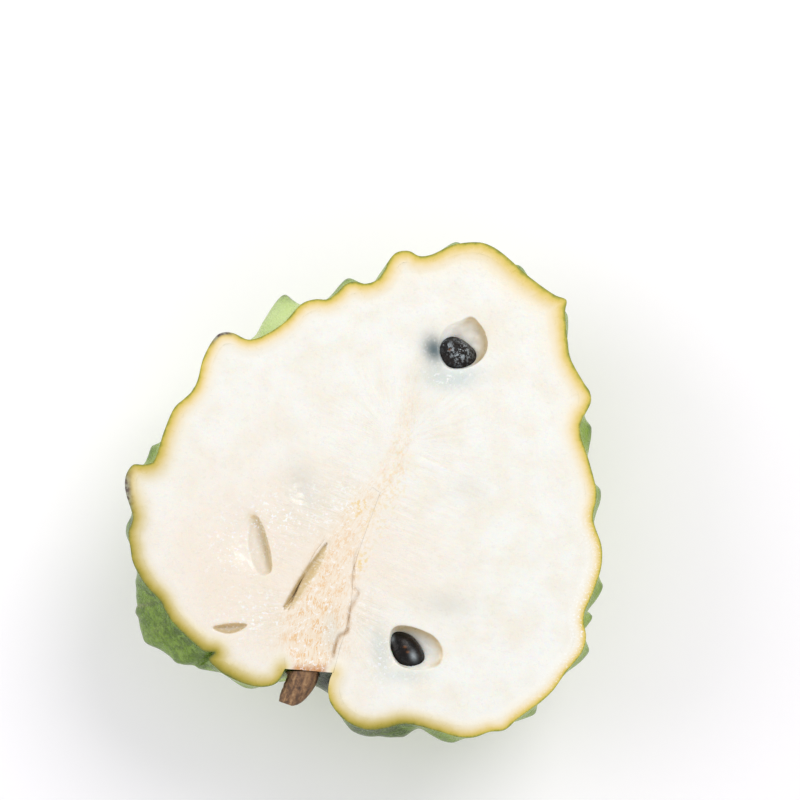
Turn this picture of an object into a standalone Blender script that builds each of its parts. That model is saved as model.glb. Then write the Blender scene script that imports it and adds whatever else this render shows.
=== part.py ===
"""Half of an atemoya, cut lengthwise, lying on its bumpy back with the cut face up.

The fruit's axis runs along +Y, from the stem to the blossom end, and the cut
face looks along +Z. All sizes below are in millimetres, and each mesh is turned
into metres when its object is made.
"""

import math

import bmesh
import bpy
import numpy as np

MM = 0.001

# Main sizes of the half.
HALF_DEPTH = 50.0
SKIN_THICKNESS = 2.4
GAP = 0.3
REST_DEPTH = 51.9

# The middle of the finished part, measured from the outline's own zero.
CENTRE_X = 3.91
CENTRE_Y = 5.57

# The outline below is given with the stem at the lower left, as the half leans.
# This turn brings the fruit's axis onto +Y.
OUTLINE_LEAN = math.radians(23.5)

# The outline of the cut face, clockwise from the left side of the stem.
LEFT_LOBE = [
    (-19.4, -41.3), (-21.8, -45.1), (-24.0, -46.1), (-27.6, -46.1),
    (-33.4, -43.9), (-36.2, -42.0), (-38.2, -39.6), (-36.8, -38.2),
]
LEFT_FLANK = [
    (-39.1, -37.9), (-41.3, -36.2), (-47.0, -30.7), (-50.2, -25.4),
    (-52.8, -22.8), (-56.4, -16.8), (-57.1, -13.2), (-57.6, -9.6),
    (-56.6, -6.0), (-58.3, -0.2), (-58.6, 2.4), (-58.1, 4.8), (-56.6, 6.7),
    (-54.2, 6.7), (-52.1, 7.2), (-51.1, 8.9), (-49.4, 14.6), (-46.8, 20.6),
    (-44.6, 22.6), (-42.7, 24.5), (-41.5, 26.9), (-40.1, 32.4),
    (-37.4, 37.4), (-35.8, 38.6), (-33.1, 38.6), (-29.5, 37.0),
]
BLOSSOM_END = [
    (-26.9, 37.4), (-21.1, 40.8), (-16.3, 45.8), (-13.2, 46.8),
    (-10.3, 46.8), (-8.2, 48.2), (-6.0, 50.4), (-3.8, 51.1), (-1.0, 50.6),
    (1.7, 51.6), (3.4, 53.8), (4.6, 56.4), (6.5, 58.3), (9.4, 58.6),
    (11.8, 57.4), (14.4, 57.6), (20.4, 60.2), (26.6, 60.7), (29.3, 59.8),
    (31.9, 58.1), (38.4, 52.3), (44.6, 47.8), (47.3, 46.6), (47.0, 43.9),
]
RIGHT_FLANK = [
    (47.5, 36.7), (48.0, 32.9), (51.4, 26.4), (52.8, 24.2), (53.0, 21.8),
    (50.6, 17.0), (50.4, 14.4), (52.6, 7.0), (54.2, -0.5), (53.3, -6.2),
    (55.2, -12.5), (55.4, -15.6), (55.0, -18.5), (52.6, -25.2),
    (51.1, -28.6), (50.9, -31.2), (51.4, -34.3), (50.6, -37.7),
]
RIGHT_LOBE = [
    (46.1, -43.4), (43.7, -46.8), (41.0, -49.4), (34.8, -54.0),
    (31.9, -56.4), (28.3, -56.9), (24.7, -58.1), (21.1, -58.1),
    (16.8, -56.9), (8.4, -55.0), (4.3, -55.9), (0.0, -56.4), (-4.1, -55.2),
    (-7.2, -52.8), (-9.4, -49.7), (-9.8, -46.8), (-9.4, -44.4),
]
STEM_SEAT = [(-8.9, -42.7), (-12.0, -42.2), (-15.8, -41.8)]
OUTLINE = LEFT_LOBE + LEFT_FLANK + BLOSSOM_END + RIGHT_FLANK + RIGHT_LOBE + STEM_SEAT
OUTLINE_SAMPLES = 1440

# The back is widest just under the cut and closes at its deepest point.
DEEPEST_POINT = (4.0, -4.0)
BULGE = math.radians(9.0)
FULLNESS = 0.91
# How soon the bumps of the outline die out below the cut.
NARROW_FADE = math.radians(7.0)
WIDE_FADE = math.radians(18.0)
NARROW_SMOOTH_DEG = 7.0
WIDE_SMOOTH_DEG = 22.0
INNER_SMOOTH_DEG = 2.5

# Tubercles of the back: a spiral about the fruit's axis, evenly spread.
TUBERCLES_ON_WHOLE_FRUIT = 176
TURN_PER_TUBERCLE = math.radians(137.508)
FIRST_TURN = math.radians(240.0)
TUBERCLE_HEIGHT = 3.9
TUBERCLE_HEIGHT_SPREAD = 0.7
TUBERCLE_WANDER = 1.2
TUBERCLE_LEAN = 0.38
STEM_SIDE_LENGTH = 8.6
BLOSSOM_SIDE_LENGTH = 5.4
HALF_WIDTH = 6.8
PEAK_SHARPNESS = 0.46
PEAK_SHARE = 0.25
LEAST_TUBERCLE_DEPTH = 13.5
CLEAR_OF_EDGE_TUBERCLES = 10.5
CUT_FADE_DEPTH = 2.6
SEED_OF_WANDER = 7

# The fruit rests on three tubercles round its weight: X, Y and height of each.
# The others of the underside stay clear of the rest by this much.
RESTING_TUBERCLES = [(19.3, -10.4, 4.19), (-19.7, -20.7, 5.36), (6.5, 14.0, 4.84)]
CLEAR_OF_REST = 0.5

# Tubercles just below the cut, which stand out past the outline:
# place on the outline's sheet, depth below the cut, height, width factor.
EDGE_TUBERCLES = [
    (-22.6, 46.3, 9.0, 6.4, 1.35),
    (-52.3, 10.3, 6.5, 2.0, 0.8),
    (-58.1, -7.9, 6.5, 1.8, 0.9),
    (-55.2, -22.3, 7.0, 3.0, 1.0),
    (-54.5, -31.0, 9.0, 7.5, 1.5),
    (-48.0, -36.5, 9.0, 6.0, 1.4),
    (-42.5, -41.5, 8.0, 4.4, 1.2),
    (-30.0, -48.0, 8.5, 2.4, 1.0),
    (-38.0, 40.5, 9.0, 2.6, 0.9),
    (-6.0, 51.8, 6.0, 2.2, 0.9),
    (5.0, 58.5, 9.0, 2.8, 0.9),
    (20.4, 62.4, 6.5, 2.2, 0.9),
    (36.0, 55.0, 8.5, 2.6, 0.9),
    (49.0, 44.0, 8.0, 2.4, 0.9),
    (52.3, 15.6, 7.5, 2.2, 0.9),
    (55.2, 0.0, 7.0, 1.8, 0.9),
    (55.4, -23.3, 7.0, 2.4, 0.9),
    (51.6, -38.4, 7.0, 2.8, 1.0),
    (38.0, -52.5, 8.0, 2.4, 0.9),
    (18.5, -58.8, 6.5, 2.4, 1.0),
    (6.5, -58.5, 6.5, 2.6, 1.1),
    (-3.0, -57.5, 6.5, 2.6, 1.1),
]

# Mesh density.
RIM_SEGMENTS = 200
SKIN_SEGMENTS = 138
SKIN_RINGS = 29
INNER_SEGMENTS = 90
INNER_RINGS = 13

# Core: points along its middle on the outline's sheet, with half widths.
CORE_LINE = [
    (-14.3, -42.2, 5.5), (-14.0, -38.5, 6.2), (-13.7, -34.8, 6.8),
    (-12.9, -31.5, 7.0), (-11.8, -28.1, 6.8), (-10.4, -22.8, 6.1),
    (-8.9, -17.3, 4.9), (-6.6, -12.7, 4.0), (-3.6, -7.4, 2.9),
    (-0.9, -3.0, 1.9), (1.4, 0.4, 0.9),
]
CORE_DEPTH_SHARE = 0.85
CORE_ARC_SIDES = 10

# Stem: points along its middle, with half widths, then its height under the cut.
STEM_LINE = [
    (-15.9, -42.6, 3.95), (-15.95, -43.6, 3.9), (-16.5, -45.0, 3.7),
    (-17.4, -46.9, 3.5), (-18.3, -48.8, 3.3), (-18.9, -50.5, 3.0),
]
STEM_AXIS_DEPTH = 4.0
STEM_SIDES = 16
STEM_RIDGES = 5
STEM_RIDGE_SHARE = 0.05

# Seeds: middle on the outline's sheet, depth, half length, half width, half
# thickness, direction of the long axis on the sheet, and its dip.
UPPER_SEED = {
    "middle": (21.0, 33.7), "depth": 3.9, "half_sizes": (5.8, 4.35, 3.6),
    "heading": math.radians(-28.0), "dip": math.radians(18.0),
}
LOWER_SEED = {
    "middle": (8.9, -37.9), "depth": 3.9, "half_sizes": (6.3, 3.9, 3.5),
    "heading": math.radians(-50.5), "dip": math.radians(7.0),
}
SEED_POINT_SHARE = 0.22
SEED_RINGS = 12
SEED_SEGMENTS = 20

# Hollows in the cut face: outline on the sheet, deepest place, and depth.
UPPER_POCKET = {
    "edge": [
        (17.0, 38.4), (18.9, 40.6), (21.5, 41.6), (24.4, 42.8), (26.2, 41.2),
        (27.9, 38.2), (28.2, 34.9), (26.6, 32.0), (22.6, 30.0), (18.3, 30.4),
        (16.5, 33.6),
    ],
    "deepest": (22.6, 35.6), "depth": 6.6,
}
LOWER_POCKET = {
    "edge": [
        (5.2, -32.8), (6.6, -31.8), (9.4, -31.9), (12.6, -32.9),
        (15.9, -34.8), (17.6, -37.9), (17.0, -40.9), (14.6, -42.6),
        (10.2, -42.6), (6.0, -41.2), (4.2, -37.6),
    ],
    "deepest": (11.2, -37.0), "depth": 6.6,
}
EMPTY_POCKET = {
    "edge": [
        (-27.4, -5.2), (-25.6, -7.8), (-24.4, -11.4), (-23.5, -15.4),
        (-23.6, -19.0), (-25.9, -19.8), (-28.6, -17.6), (-30.2, -13.4),
        (-30.0, -9.2), (-28.8, -6.2),
    ],
    "deepest": (-25.7, -14.2), "depth": 4.4,
}
SLIT = {
    "edge": [
        (-37.4, -32.2), (-34.6, -31.4), (-31.2, -31.2), (-29.0, -31.5),
        (-30.6, -32.8), (-33.4, -33.6), (-35.8, -33.2),
    ],
    "deepest": (-33.0, -32.4), "depth": 2.4,
}
CORE_CRACK = {
    "edge": [
        (-10.7, -12.9), (-13.9, -16.6), (-17.2, -21.0), (-19.4, -25.4),
        (-22.1, -28.5), (-20.4, -29.0), (-17.0, -26.2), (-14.6, -21.8),
        (-12.2, -17.2),
    ],
    "deepest": (-16.4, -22.4), "depth": 3.2,
}
HOLLOW_RINGS = 5
HOLLOW_SEGMENTS = 22
CUTTER_RISE = 2.0


def clear_scene():
    for thing in list(bpy.data.objects):
        bpy.data.objects.remove(thing, do_unlink=True)


def place(u, v):
    """Turn a point of the outline's sheet into the part's own X and Y."""
    x = u * math.cos(OUTLINE_LEAN) - v * math.sin(OUTLINE_LEAN)
    y = u * math.sin(OUTLINE_LEAN) + v * math.cos(OUTLINE_LEAN)
    return (x - CENTRE_X, y - CENTRE_Y)


def even_spline(points, samples, closed=True):
    """Run a centripetal spline through the points and space it out evenly."""
    knots = np.array(points, float)
    if closed:
        before, after = np.roll(knots, 1, 0), np.roll(knots, -1, 0)
        after_next = np.roll(knots, -2, 0)
    else:
        padded = np.vstack([2 * knots[0] - knots[1], knots, 2 * knots[-1] - knots[-2]])
        before, after, after_next = padded[:-3], padded[2:-1], padded[3:]
        knots = padded[1:-2]
    steps = np.linspace(0.0, 1.0, 24, endpoint=False)
    dense = []
    for p0, p1, p2, p3 in zip(before, knots, after, after_next):
        t1 = max(np.linalg.norm(p1 - p0), 1e-6) ** 0.5
        t2 = t1 + max(np.linalg.norm(p2 - p1), 1e-6) ** 0.5
        t3 = t2 + max(np.linalg.norm(p3 - p2), 1e-6) ** 0.5
        for step in steps:
            t = t1 + (t2 - t1) * step
            a1 = p0 + (p1 - p0) * t / t1
            a2 = p1 + (p2 - p1) * (t - t1) / (t2 - t1)
            a3 = p2 + (p3 - p2) * (t - t2) / (t3 - t2)
            b1 = a1 + (a2 - a1) * t / t2
            b2 = a2 + (a3 - a2) * (t - t1) / (t3 - t1)
            dense.append(b1 + (b2 - b1) * (t - t1) / (t2 - t1))
    last = dense[0] if closed else np.array(points[-1], float)
    dense = np.vstack([dense, last])
    lengths = np.linalg.norm(np.diff(dense, axis=0), axis=1)
    along = np.concatenate([[0.0], np.cumsum(lengths)])
    wanted = np.linspace(0.0, along[-1], samples, endpoint=not closed)
    columns = [np.interp(wanted, along, column) for column in dense.T]
    return np.stack(columns, axis=1)


def smoothed(curve, degrees):
    """Round off a closed curve with a bell-shaped average along it."""
    sigma = degrees / 360.0 * len(curve)
    reach = int(3 * sigma)
    result = np.zeros_like(curve)
    total = 0.0
    for shift in range(-reach, reach + 1):
        weight = math.exp(-0.5 * (shift / sigma) ** 2)
        result += weight * np.roll(curve, shift, axis=0)
        total += weight
    return result / total


def moved_inward(curve, distance):
    """Move a closed clockwise curve towards its inside."""
    along = np.roll(curve, -4, axis=0) - np.roll(curve, 4, axis=0)
    along /= np.linalg.norm(along, axis=1)[:, None]
    inward = np.stack([along[:, 1], -along[:, 0]], axis=1)
    return curve + inward * distance


def outline_set(inset):
    """The outline at the cut and its two rounder forms, all moved inward."""
    drawn = even_spline([place(u, v) for u, v in OUTLINE], OUTLINE_SAMPLES)
    if inset:
        rim = smoothed(moved_inward(drawn, inset), INNER_SMOOTH_DEG)
    else:
        rim = drawn
    middle = moved_inward(smoothed(drawn, NARROW_SMOOTH_DEG), inset)
    broad = moved_inward(smoothed(drawn, WIDE_SMOOTH_DEG), inset)
    return rim, middle, broad


def sampled(curve, share):
    """Read a closed curve at shares of its length."""
    places = np.mod(np.asarray(share, float), 1.0) * len(curve)
    first = np.floor(places).astype(int)
    part = (places - first)[:, None]
    return curve[first % len(curve)] * (1 - part) + curve[(first + 1) % len(curve)] * part


def back_surface(outlines, depth, share, angle):
    """Points of the back: share runs round the outline, angle down from the cut."""
    rim, middle, broad = (sampled(curve, share) for curve in outlines)
    angle = np.asarray(angle, float)
    narrow = np.exp(-((angle / NARROW_FADE) ** 2))[:, None]
    wide = np.exp(-((angle / WIDE_FADE) ** 2))[:, None]
    level = broad + (middle - broad) * wide + (rim - middle) * narrow
    lean = angle * (math.pi / 2 + BULGE) / (math.pi / 2) - BULGE
    reach = np.clip(np.cos(lean) / math.cos(BULGE), 0.0, None) ** FULLNESS
    drop = np.clip((np.sin(lean) + math.sin(BULGE)) / (1 + math.sin(BULGE)), 0.0, 1.0) ** FULLNESS
    middle_point = np.array(place(*DEEPEST_POINT))
    flat = middle_point + reach[:, None] * (level - middle_point)
    return np.column_stack([flat, -depth * drop])


def tubercle_field(outlines):
    """Where each tubercle grows: outline share, angle, height and width factor."""
    shares, angles = np.meshgrid(np.arange(720) / 720.0, np.radians(np.arange(1, 180) / 2.0))
    shares, angles = shares.ravel(), angles.ravel()
    grid = back_surface(outlines, HALF_DEPTH, shares, angles)
    middle = np.array([*place(*DEEPEST_POINT), 0.0])
    rays = (grid - middle) / np.linalg.norm(grid - middle, axis=1)[:, None]
    edge, spiral = [], []
    for u, v, depth, height, width in EDGE_TUBERCLES:
        wanted = np.array([*place(u, v), -depth])
        flat = np.linalg.norm((grid - wanted) * np.array([0.6, 0.6, 2.0]), axis=1)
        found = int(np.argmin(flat))
        edge.append((shares[found], angles[found], height, width, grid[found]))
    wander = np.random.RandomState(SEED_OF_WANDER)
    for index in range(TUBERCLES_ON_WHOLE_FRUIT):
        along = 1 - 2 * (index + 0.5) / TUBERCLES_ON_WHOLE_FRUIT
        turn = FIRST_TURN + index * TURN_PER_TUBERCLE
        across = math.sqrt(1 - along * along)
        shift = wander.uniform(-1, 1, 3) * TUBERCLE_WANDER / HALF_DEPTH
        height = TUBERCLE_HEIGHT + wander.uniform(-1, 1) * TUBERCLE_HEIGHT_SPREAD
        ray = np.array([across * math.cos(turn), along, across * math.sin(turn)]) + shift
        found = int(np.argmax(rays @ ray))
        point = grid[found]
        clear = all(
            np.linalg.norm(point - other[4]) > CLEAR_OF_EDGE_TUBERCLES for other in edge
        )
        height = min(height, REST_DEPTH - CLEAR_OF_REST + point[2])
        for x, y, resting_height in RESTING_TUBERCLES:
            if math.hypot(point[0] - x, point[1] - y) < 2.0:
                height = resting_height
        if ray[2] < 0 and point[2] < -LEAST_TUBERCLE_DEPTH and clear:
            spiral.append((shares[found], angles[found], height, 1.0, point))
    return edge + spiral


def raised(points, field, outlines):
    """Lift the tubercles out of the smooth back."""
    lifted = points.copy()
    below_cut = 1 - np.exp(-((points[:, 2] / CUT_FADE_DEPTH) ** 2))
    step = 0.01
    for share, angle, height, width, _ in field:
        around = back_surface(
            outlines, HALF_DEPTH,
            [share, share + step, share - step, share, share],
            [angle, angle, angle, min(angle + step * 4, math.pi / 2), angle - step * 4],
        )
        centre = around[0]
        out = np.cross(around[1] - around[2], around[3] - around[4])
        out /= np.linalg.norm(out)
        if out @ (centre - np.array([*place(*DEEPEST_POINT), 0.0])) < 0:
            out = -out
        to_blossom = np.array([0.0, 1.0, 0.0]) - out * out[1]
        to_blossom /= max(np.linalg.norm(to_blossom), 1e-6)
        sideways = np.cross(out, to_blossom)
        away = points - centre
        forward = away @ to_blossom
        length = np.where(forward > 0, BLOSSOM_SIDE_LENGTH, STEM_SIDE_LENGTH) * width
        radius = np.hypot(forward / length, away @ sideways / (HALF_WIDTH * width))
        radius = np.where(np.abs(away @ out) > 12.0, 2.0, radius)
        dome = np.clip(1 - radius ** 2, 0, None) ** 2
        peak = np.exp(-((radius / PEAK_SHARPNESS) ** 2)) * (radius < 1.6)
        form = (1 - PEAK_SHARE) * dome + PEAK_SHARE * peak
        push = (height * form * below_cut)[:, None]
        lifted += push * (out + TUBERCLE_LEAN * form[:, None] * to_blossom)
    return lifted


def ring_parameters(segments, extra_at_rim, rings):
    """Shares and angles of evenly spaced rings, from the cut down to the last ring."""
    rows = []
    for index in range(rings):
        angle = math.pi / 2 * index / rings
        crowd = math.exp(-((angle / math.radians(6.0)) ** 2))
        count = max(8, round(segments * math.cos(angle) + extra_at_rim * crowd))
        shares = np.arange(count) / count
        rows.append((shares, np.full(count, angle)))
    return rows


def snap_to_tubercles(rows, field):
    """Move the nearest point of the mesh onto each tubercle's middle."""
    levels = np.array([angles[0] for _, angles in rows])
    for share, angle, *_ in field:
        level = int(np.argmin(np.abs(levels - angle)))
        if level == 0:
            level = 1
        shares, angles = rows[level]
        index = int(round(share * len(shares))) % len(shares)
        shares[index] = share
        angles[index] = angle


def mesh_object(name, points, faces, material):
    """Make one object from points in millimetres, with its faces looking out."""
    mesh = bpy.data.meshes.new(name)
    mesh.from_pydata([tuple(p * MM) for p in np.asarray(points, float)], [], faces)
    thing = bpy.data.objects.new(name, mesh)
    bpy.context.scene.collection.objects.link(thing)
    body = bmesh.new()
    body.from_mesh(mesh)
    bmesh.ops.recalc_face_normals(body, faces=body.faces[:])
    if body.calc_volume(signed=True) < 0:
        bmesh.ops.reverse_faces(body, faces=body.faces[:])
    body.to_mesh(mesh)
    body.free()
    if material:
        mesh.materials.append(material)
    mesh.shade_smooth()
    return thing


def joined_rings(rings, first_cap, last_cap):
    """Close a chain of rings into one surface. A cap is a point, or None for a flat face."""
    points, faces, starts = [], [], []
    for ring in rings:
        starts.append(len(points))
        points.extend(ring)
    for index in range(len(rings) - 1):
        n, m = len(rings[index]), len(rings[index + 1])
        a, b = starts[index], starts[index + 1]
        i = j = 0
        while i < n or j < m:
            if j == m or (i < n and (i + 1) * m <= (j + 1) * n):
                faces.append((a + i % n, a + (i + 1) % n, b + j % m))
                i += 1
            else:
                faces.append((a + i % n, b + (j + 1) % m, b + j % m))
                j += 1
    for ring_index, cap, flip in ((0, first_cap, False), (-1, last_cap, True)):
        count = len(rings[ring_index])
        loop = [starts[ring_index] + i for i in range(count)]
        if cap is None:
            faces.append(tuple(loop if flip else reversed(loop)))
            continue
        points.append(cap)
        tip = len(points) - 1
        for i in range(count):
            pair = (loop[i], loop[(i + 1) % count])
            faces.append((pair[0], pair[1], tip) if flip else (pair[1], pair[0], tip))
    return np.array(points), faces


def new_material(name, colour, roughness):
    material = bpy.data.materials.new(name)
    material.use_nodes = True
    shader = material.node_tree.nodes["Principled BSDF"]
    shader.inputs["Base Color"].default_value = (*colour, 1.0)
    shader.inputs["Roughness"].default_value = roughness
    shader.inputs["Metallic"].default_value = 0.0
    material.diffuse_color = (*colour, 1.0)
    return material


def cut(body, cutter):
    """Take the cutter's shape out of the body."""
    cutter.hide_render = True
    cutter.display_type = "WIRE"
    boolean = body.modifiers.new(cutter.name, "BOOLEAN")
    boolean.operation = "DIFFERENCE"
    boolean.solver = "EXACT"
    boolean.object = cutter


def make_skin(material):
    outlines = outline_set(0.0)
    field = tubercle_field(outlines)
    rows = ring_parameters(SKIN_SEGMENTS, RIM_SEGMENTS - SKIN_SEGMENTS, SKIN_RINGS)
    snap_to_tubercles(rows, field)
    outside = []
    for shares, angles in rows:
        smooth_ring = back_surface(outlines, HALF_DEPTH, shares, angles)
        outside.append(raised(smooth_ring, field, outlines))
    bottom = back_surface(outlines, HALF_DEPTH, [0.0], [math.pi / 2])
    outer_tip = raised(bottom, field, outlines)[0]
    inner_outlines = outline_set(SKIN_THICKNESS)
    inner_depth = HALF_DEPTH - SKIN_THICKNESS
    inner_rows = ring_parameters(INNER_SEGMENTS, RIM_SEGMENTS - INNER_SEGMENTS, INNER_RINGS)
    inside = [back_surface(inner_outlines, inner_depth, *row) for row in inner_rows]
    inner_tip = back_surface(inner_outlines, inner_depth, [0.0], [math.pi / 2])[0]
    points, faces = joined_rings(outside[::-1] + inside, outer_tip, inner_tip)
    points[:, 2] = np.maximum(points[:, 2], -REST_DEPTH)
    return mesh_object("skin", points, faces, material)


def make_flesh(material):
    inset = SKIN_THICKNESS + GAP
    outlines = outline_set(inset)
    depth = HALF_DEPTH - inset
    rows = ring_parameters(INNER_SEGMENTS, RIM_SEGMENTS - INNER_SEGMENTS, INNER_RINGS)
    rings = [back_surface(outlines, depth, *row) for row in rows]
    tip = back_surface(outlines, depth, [0.0], [math.pi / 2])[0]
    points, faces = joined_rings(rings[::-1], tip, None)
    return mesh_object("flesh", points, faces, material)


def core_shape(extra, rise, name, material):
    """Half a spindle with a flat top, grown outward by extra."""
    line = even_spline(CORE_LINE, 16, closed=False)
    rings = []
    for index, (u, v, half_width) in enumerate(line):
        ahead = line[min(index + 1, len(line) - 1)]
        behind = line[max(index - 1, 0)]
        heading = math.atan2(ahead[1] - behind[1], ahead[0] - behind[0])
        side = (math.sin(heading), -math.cos(heading))
        slide = -extra if index == 0 else extra if index == len(line) - 1 else 0.0
        u += slide * math.cos(heading)
        v += slide * math.sin(heading)
        width = half_width + extra
        ring = [(*place(u + side[0] * width, v + side[1] * width), rise)]
        for arc in np.linspace(0.0, math.pi, CORE_ARC_SIDES + 1):
            across = width * math.cos(arc)
            deep = (half_width * CORE_DEPTH_SHARE + extra) * math.sin(arc)
            ring.append((*place(u + side[0] * across, v + side[1] * across), -deep))
        ring.append((*place(u - side[0] * width, v - side[1] * width), rise))
        rings.append(ring if rise else ring[1:-1])
    points, faces = joined_rings([np.array(ring) for ring in rings], None, None)
    return mesh_object(name, points, faces, material)


def stem_shape(extra, name, material):
    """A ridged woody stub, grown outward by extra."""
    rings = []
    for index, (u, v, half_width) in enumerate(STEM_LINE):
        ahead = STEM_LINE[min(index + 1, len(STEM_LINE) - 1)]
        behind = STEM_LINE[max(index - 1, 0)]
        heading = math.atan2(ahead[1] - behind[1], ahead[0] - behind[0])
        side = (math.sin(heading), -math.cos(heading))
        slide = -extra if index == 0 else extra if index == len(STEM_LINE) - 1 else 0.0
        u += slide * math.cos(heading)
        v += slide * math.sin(heading)
        ring = []
        for step in range(STEM_SIDES):
            turn = 2 * math.pi * step / STEM_SIDES
            ridge = 1 + STEM_RIDGE_SHARE * math.cos(STEM_RIDGES * turn + index)
            radius = half_width * ridge + extra
            across = radius * math.cos(turn)
            height = radius * math.sin(turn) - STEM_AXIS_DEPTH
            ring.append((*place(u + side[0] * across, v + side[1] * across), height))
        rings.append(np.array(ring))
    points, faces = joined_rings(rings, None, None)
    return mesh_object(name, points, faces, material)


def seed_shape(seed, extra, name, material):
    """A smooth seed, rounder at one end and drawn to a blunt point at the other."""
    length, width, thickness = (half + extra for half in seed["half_sizes"])
    rings = []
    for index in range(1, SEED_RINGS):
        turn = math.pi * index / SEED_RINGS
        along = -math.cos(turn)
        girth = math.sin(turn) * (1 - SEED_POINT_SHARE * (along + 1) / 2)
        ring = []
        for step in range(SEED_SEGMENTS):
            roll = 2 * math.pi * step / SEED_SEGMENTS
            across = width * girth * math.cos(roll)
            ring.append((length * along, across, thickness * girth * math.sin(roll)))
        rings.append(np.array(ring))
    points, faces = joined_rings(rings, (-length, 0.0, 0.0), (length, 0.0, 0.0))
    thing = mesh_object(name, points, faces, material)
    x, y = place(*seed["middle"])
    thing.location = (x * MM, y * MM, -seed["depth"] * MM)
    thing.rotation_euler = (0.0, seed["dip"], seed["heading"] + OUTLINE_LEAN)
    return thing


def hollow_shape(hollow, name):
    """A bowl with a free edge, reaching a little above the cut face."""
    edge = even_spline([place(u, v) for u, v in hollow["edge"]], HOLLOW_SEGMENTS)
    deepest = np.array(place(*hollow["deepest"]))
    rings = [np.column_stack([edge, np.full(len(edge), CUTTER_RISE)])]
    for index in range(HOLLOW_RINGS):
        turn = math.pi / 2 * index / HOLLOW_RINGS
        flat = deepest + (edge - deepest) * math.cos(turn)
        drop = -hollow["depth"] * math.sin(turn)
        rings.append(np.column_stack([flat, np.full(len(edge), drop)]))
    points, faces = joined_rings(rings, None, (*deepest, -hollow["depth"]))
    return mesh_object(name, points, faces, None)


def main():
    clear_scene()
    skin_green = new_material("skin_green", (0.33, 0.52, 0.09), 0.38)
    flesh_white = new_material("flesh_white", (0.93, 0.90, 0.80), 0.45)
    core_peach = new_material("core_peach", (0.88, 0.66, 0.47), 0.6)
    stem_brown = new_material("stem_brown", (0.13, 0.08, 0.05), 0.85)
    seed_black = new_material("seed_black", (0.012, 0.01, 0.01), 0.2)

    skin = make_skin(skin_green)
    flesh = make_flesh(flesh_white)
    core_shape(0.0, 0.0, "core", core_peach)
    stem_shape(0.0, "stem", stem_brown)
    seed_shape(UPPER_SEED, 0.0, "seed_upper", seed_black)
    seed_shape(LOWER_SEED, 0.0, "seed_lower", seed_black)

    core_room = core_shape(GAP, CUTTER_RISE, "core_room", None)
    stem_room = stem_shape(GAP, "stem_room", None)
    cut(skin, core_room)
    cut(skin, stem_room)
    cut(flesh, core_room)
    cut(flesh, stem_room)
    cut(flesh, seed_shape(UPPER_SEED, GAP, "upper_seed_room", None))
    cut(flesh, seed_shape(LOWER_SEED, GAP, "lower_seed_room", None))
    for name, hollow in (
        ("upper_pocket", UPPER_POCKET), ("lower_pocket", LOWER_POCKET),
        ("empty_pocket", EMPTY_POCKET), ("slit", SLIT), ("core_crack", CORE_CRACK),
    ):
        cut(flesh, hollow_shape(hollow, name))

    for thing in bpy.context.scene.collection.objects:
        thing.location.z += REST_DEPTH * MM


main()
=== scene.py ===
import math

import bmesh
import bpy
import numpy as np
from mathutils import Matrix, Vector, geometry, kdtree, noise


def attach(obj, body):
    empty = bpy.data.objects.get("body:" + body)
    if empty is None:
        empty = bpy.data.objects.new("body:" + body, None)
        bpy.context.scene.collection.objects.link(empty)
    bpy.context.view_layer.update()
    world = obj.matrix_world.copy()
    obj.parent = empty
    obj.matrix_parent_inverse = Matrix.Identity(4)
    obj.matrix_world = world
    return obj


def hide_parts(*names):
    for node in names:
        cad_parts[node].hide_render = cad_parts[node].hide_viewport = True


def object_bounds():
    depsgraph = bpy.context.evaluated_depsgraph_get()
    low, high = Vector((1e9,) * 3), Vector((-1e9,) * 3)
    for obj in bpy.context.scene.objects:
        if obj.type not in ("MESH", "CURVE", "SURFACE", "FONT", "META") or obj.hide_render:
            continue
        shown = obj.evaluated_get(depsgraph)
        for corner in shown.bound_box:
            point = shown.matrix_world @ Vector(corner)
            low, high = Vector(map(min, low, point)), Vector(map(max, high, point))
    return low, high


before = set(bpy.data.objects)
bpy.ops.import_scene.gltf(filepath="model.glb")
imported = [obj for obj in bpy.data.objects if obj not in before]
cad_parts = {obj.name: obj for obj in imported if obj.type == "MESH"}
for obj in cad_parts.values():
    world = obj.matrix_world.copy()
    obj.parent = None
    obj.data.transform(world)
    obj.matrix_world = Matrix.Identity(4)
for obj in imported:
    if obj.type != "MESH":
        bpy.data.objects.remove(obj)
cad_low, cad_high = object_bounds()

# Half of an atemoya on its back, cut face up. Sizes are in millimetres until a
# mesh is made. Places on the cut face are given as (u, v) on the outline's sheet,
# which is turned from the part's X and Y by the outline's lean.
MM = 0.001
HALF_DEPTH = 50.0
SKIN_THICKNESS = 2.4
GAP = 0.3
REST_DEPTH = cad_high.z / MM
CENTRE_X = 3.91
CENTRE_Y = 5.57
OUTLINE_LEAN = math.radians(23.5)

# The outline of the cut face, clockwise from the left side of the stem.
LEFT_LOBE = [
    (-19.4, -41.3), (-21.8, -45.1), (-24.0, -46.1), (-27.6, -46.1),
    (-33.4, -43.9), (-36.2, -42.0), (-38.2, -39.6), (-36.8, -38.2),
]
LEFT_FLANK = [
    (-39.1, -37.9), (-41.3, -36.2), (-47.0, -30.7), (-50.2, -25.4),
    (-52.8, -22.8), (-56.4, -16.8), (-57.1, -13.2), (-57.6, -9.6),
    (-56.6, -6.0), (-58.3, -0.2), (-58.6, 2.4), (-58.1, 4.8), (-56.6, 6.7),
    (-54.2, 6.7), (-52.1, 7.2), (-51.1, 8.9), (-49.4, 14.6), (-46.8, 20.6),
    (-44.6, 22.6), (-42.7, 24.5), (-41.5, 26.9), (-40.1, 32.4),
    (-37.4, 37.4), (-35.8, 38.6), (-33.1, 38.6), (-29.5, 37.0),
]
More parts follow.
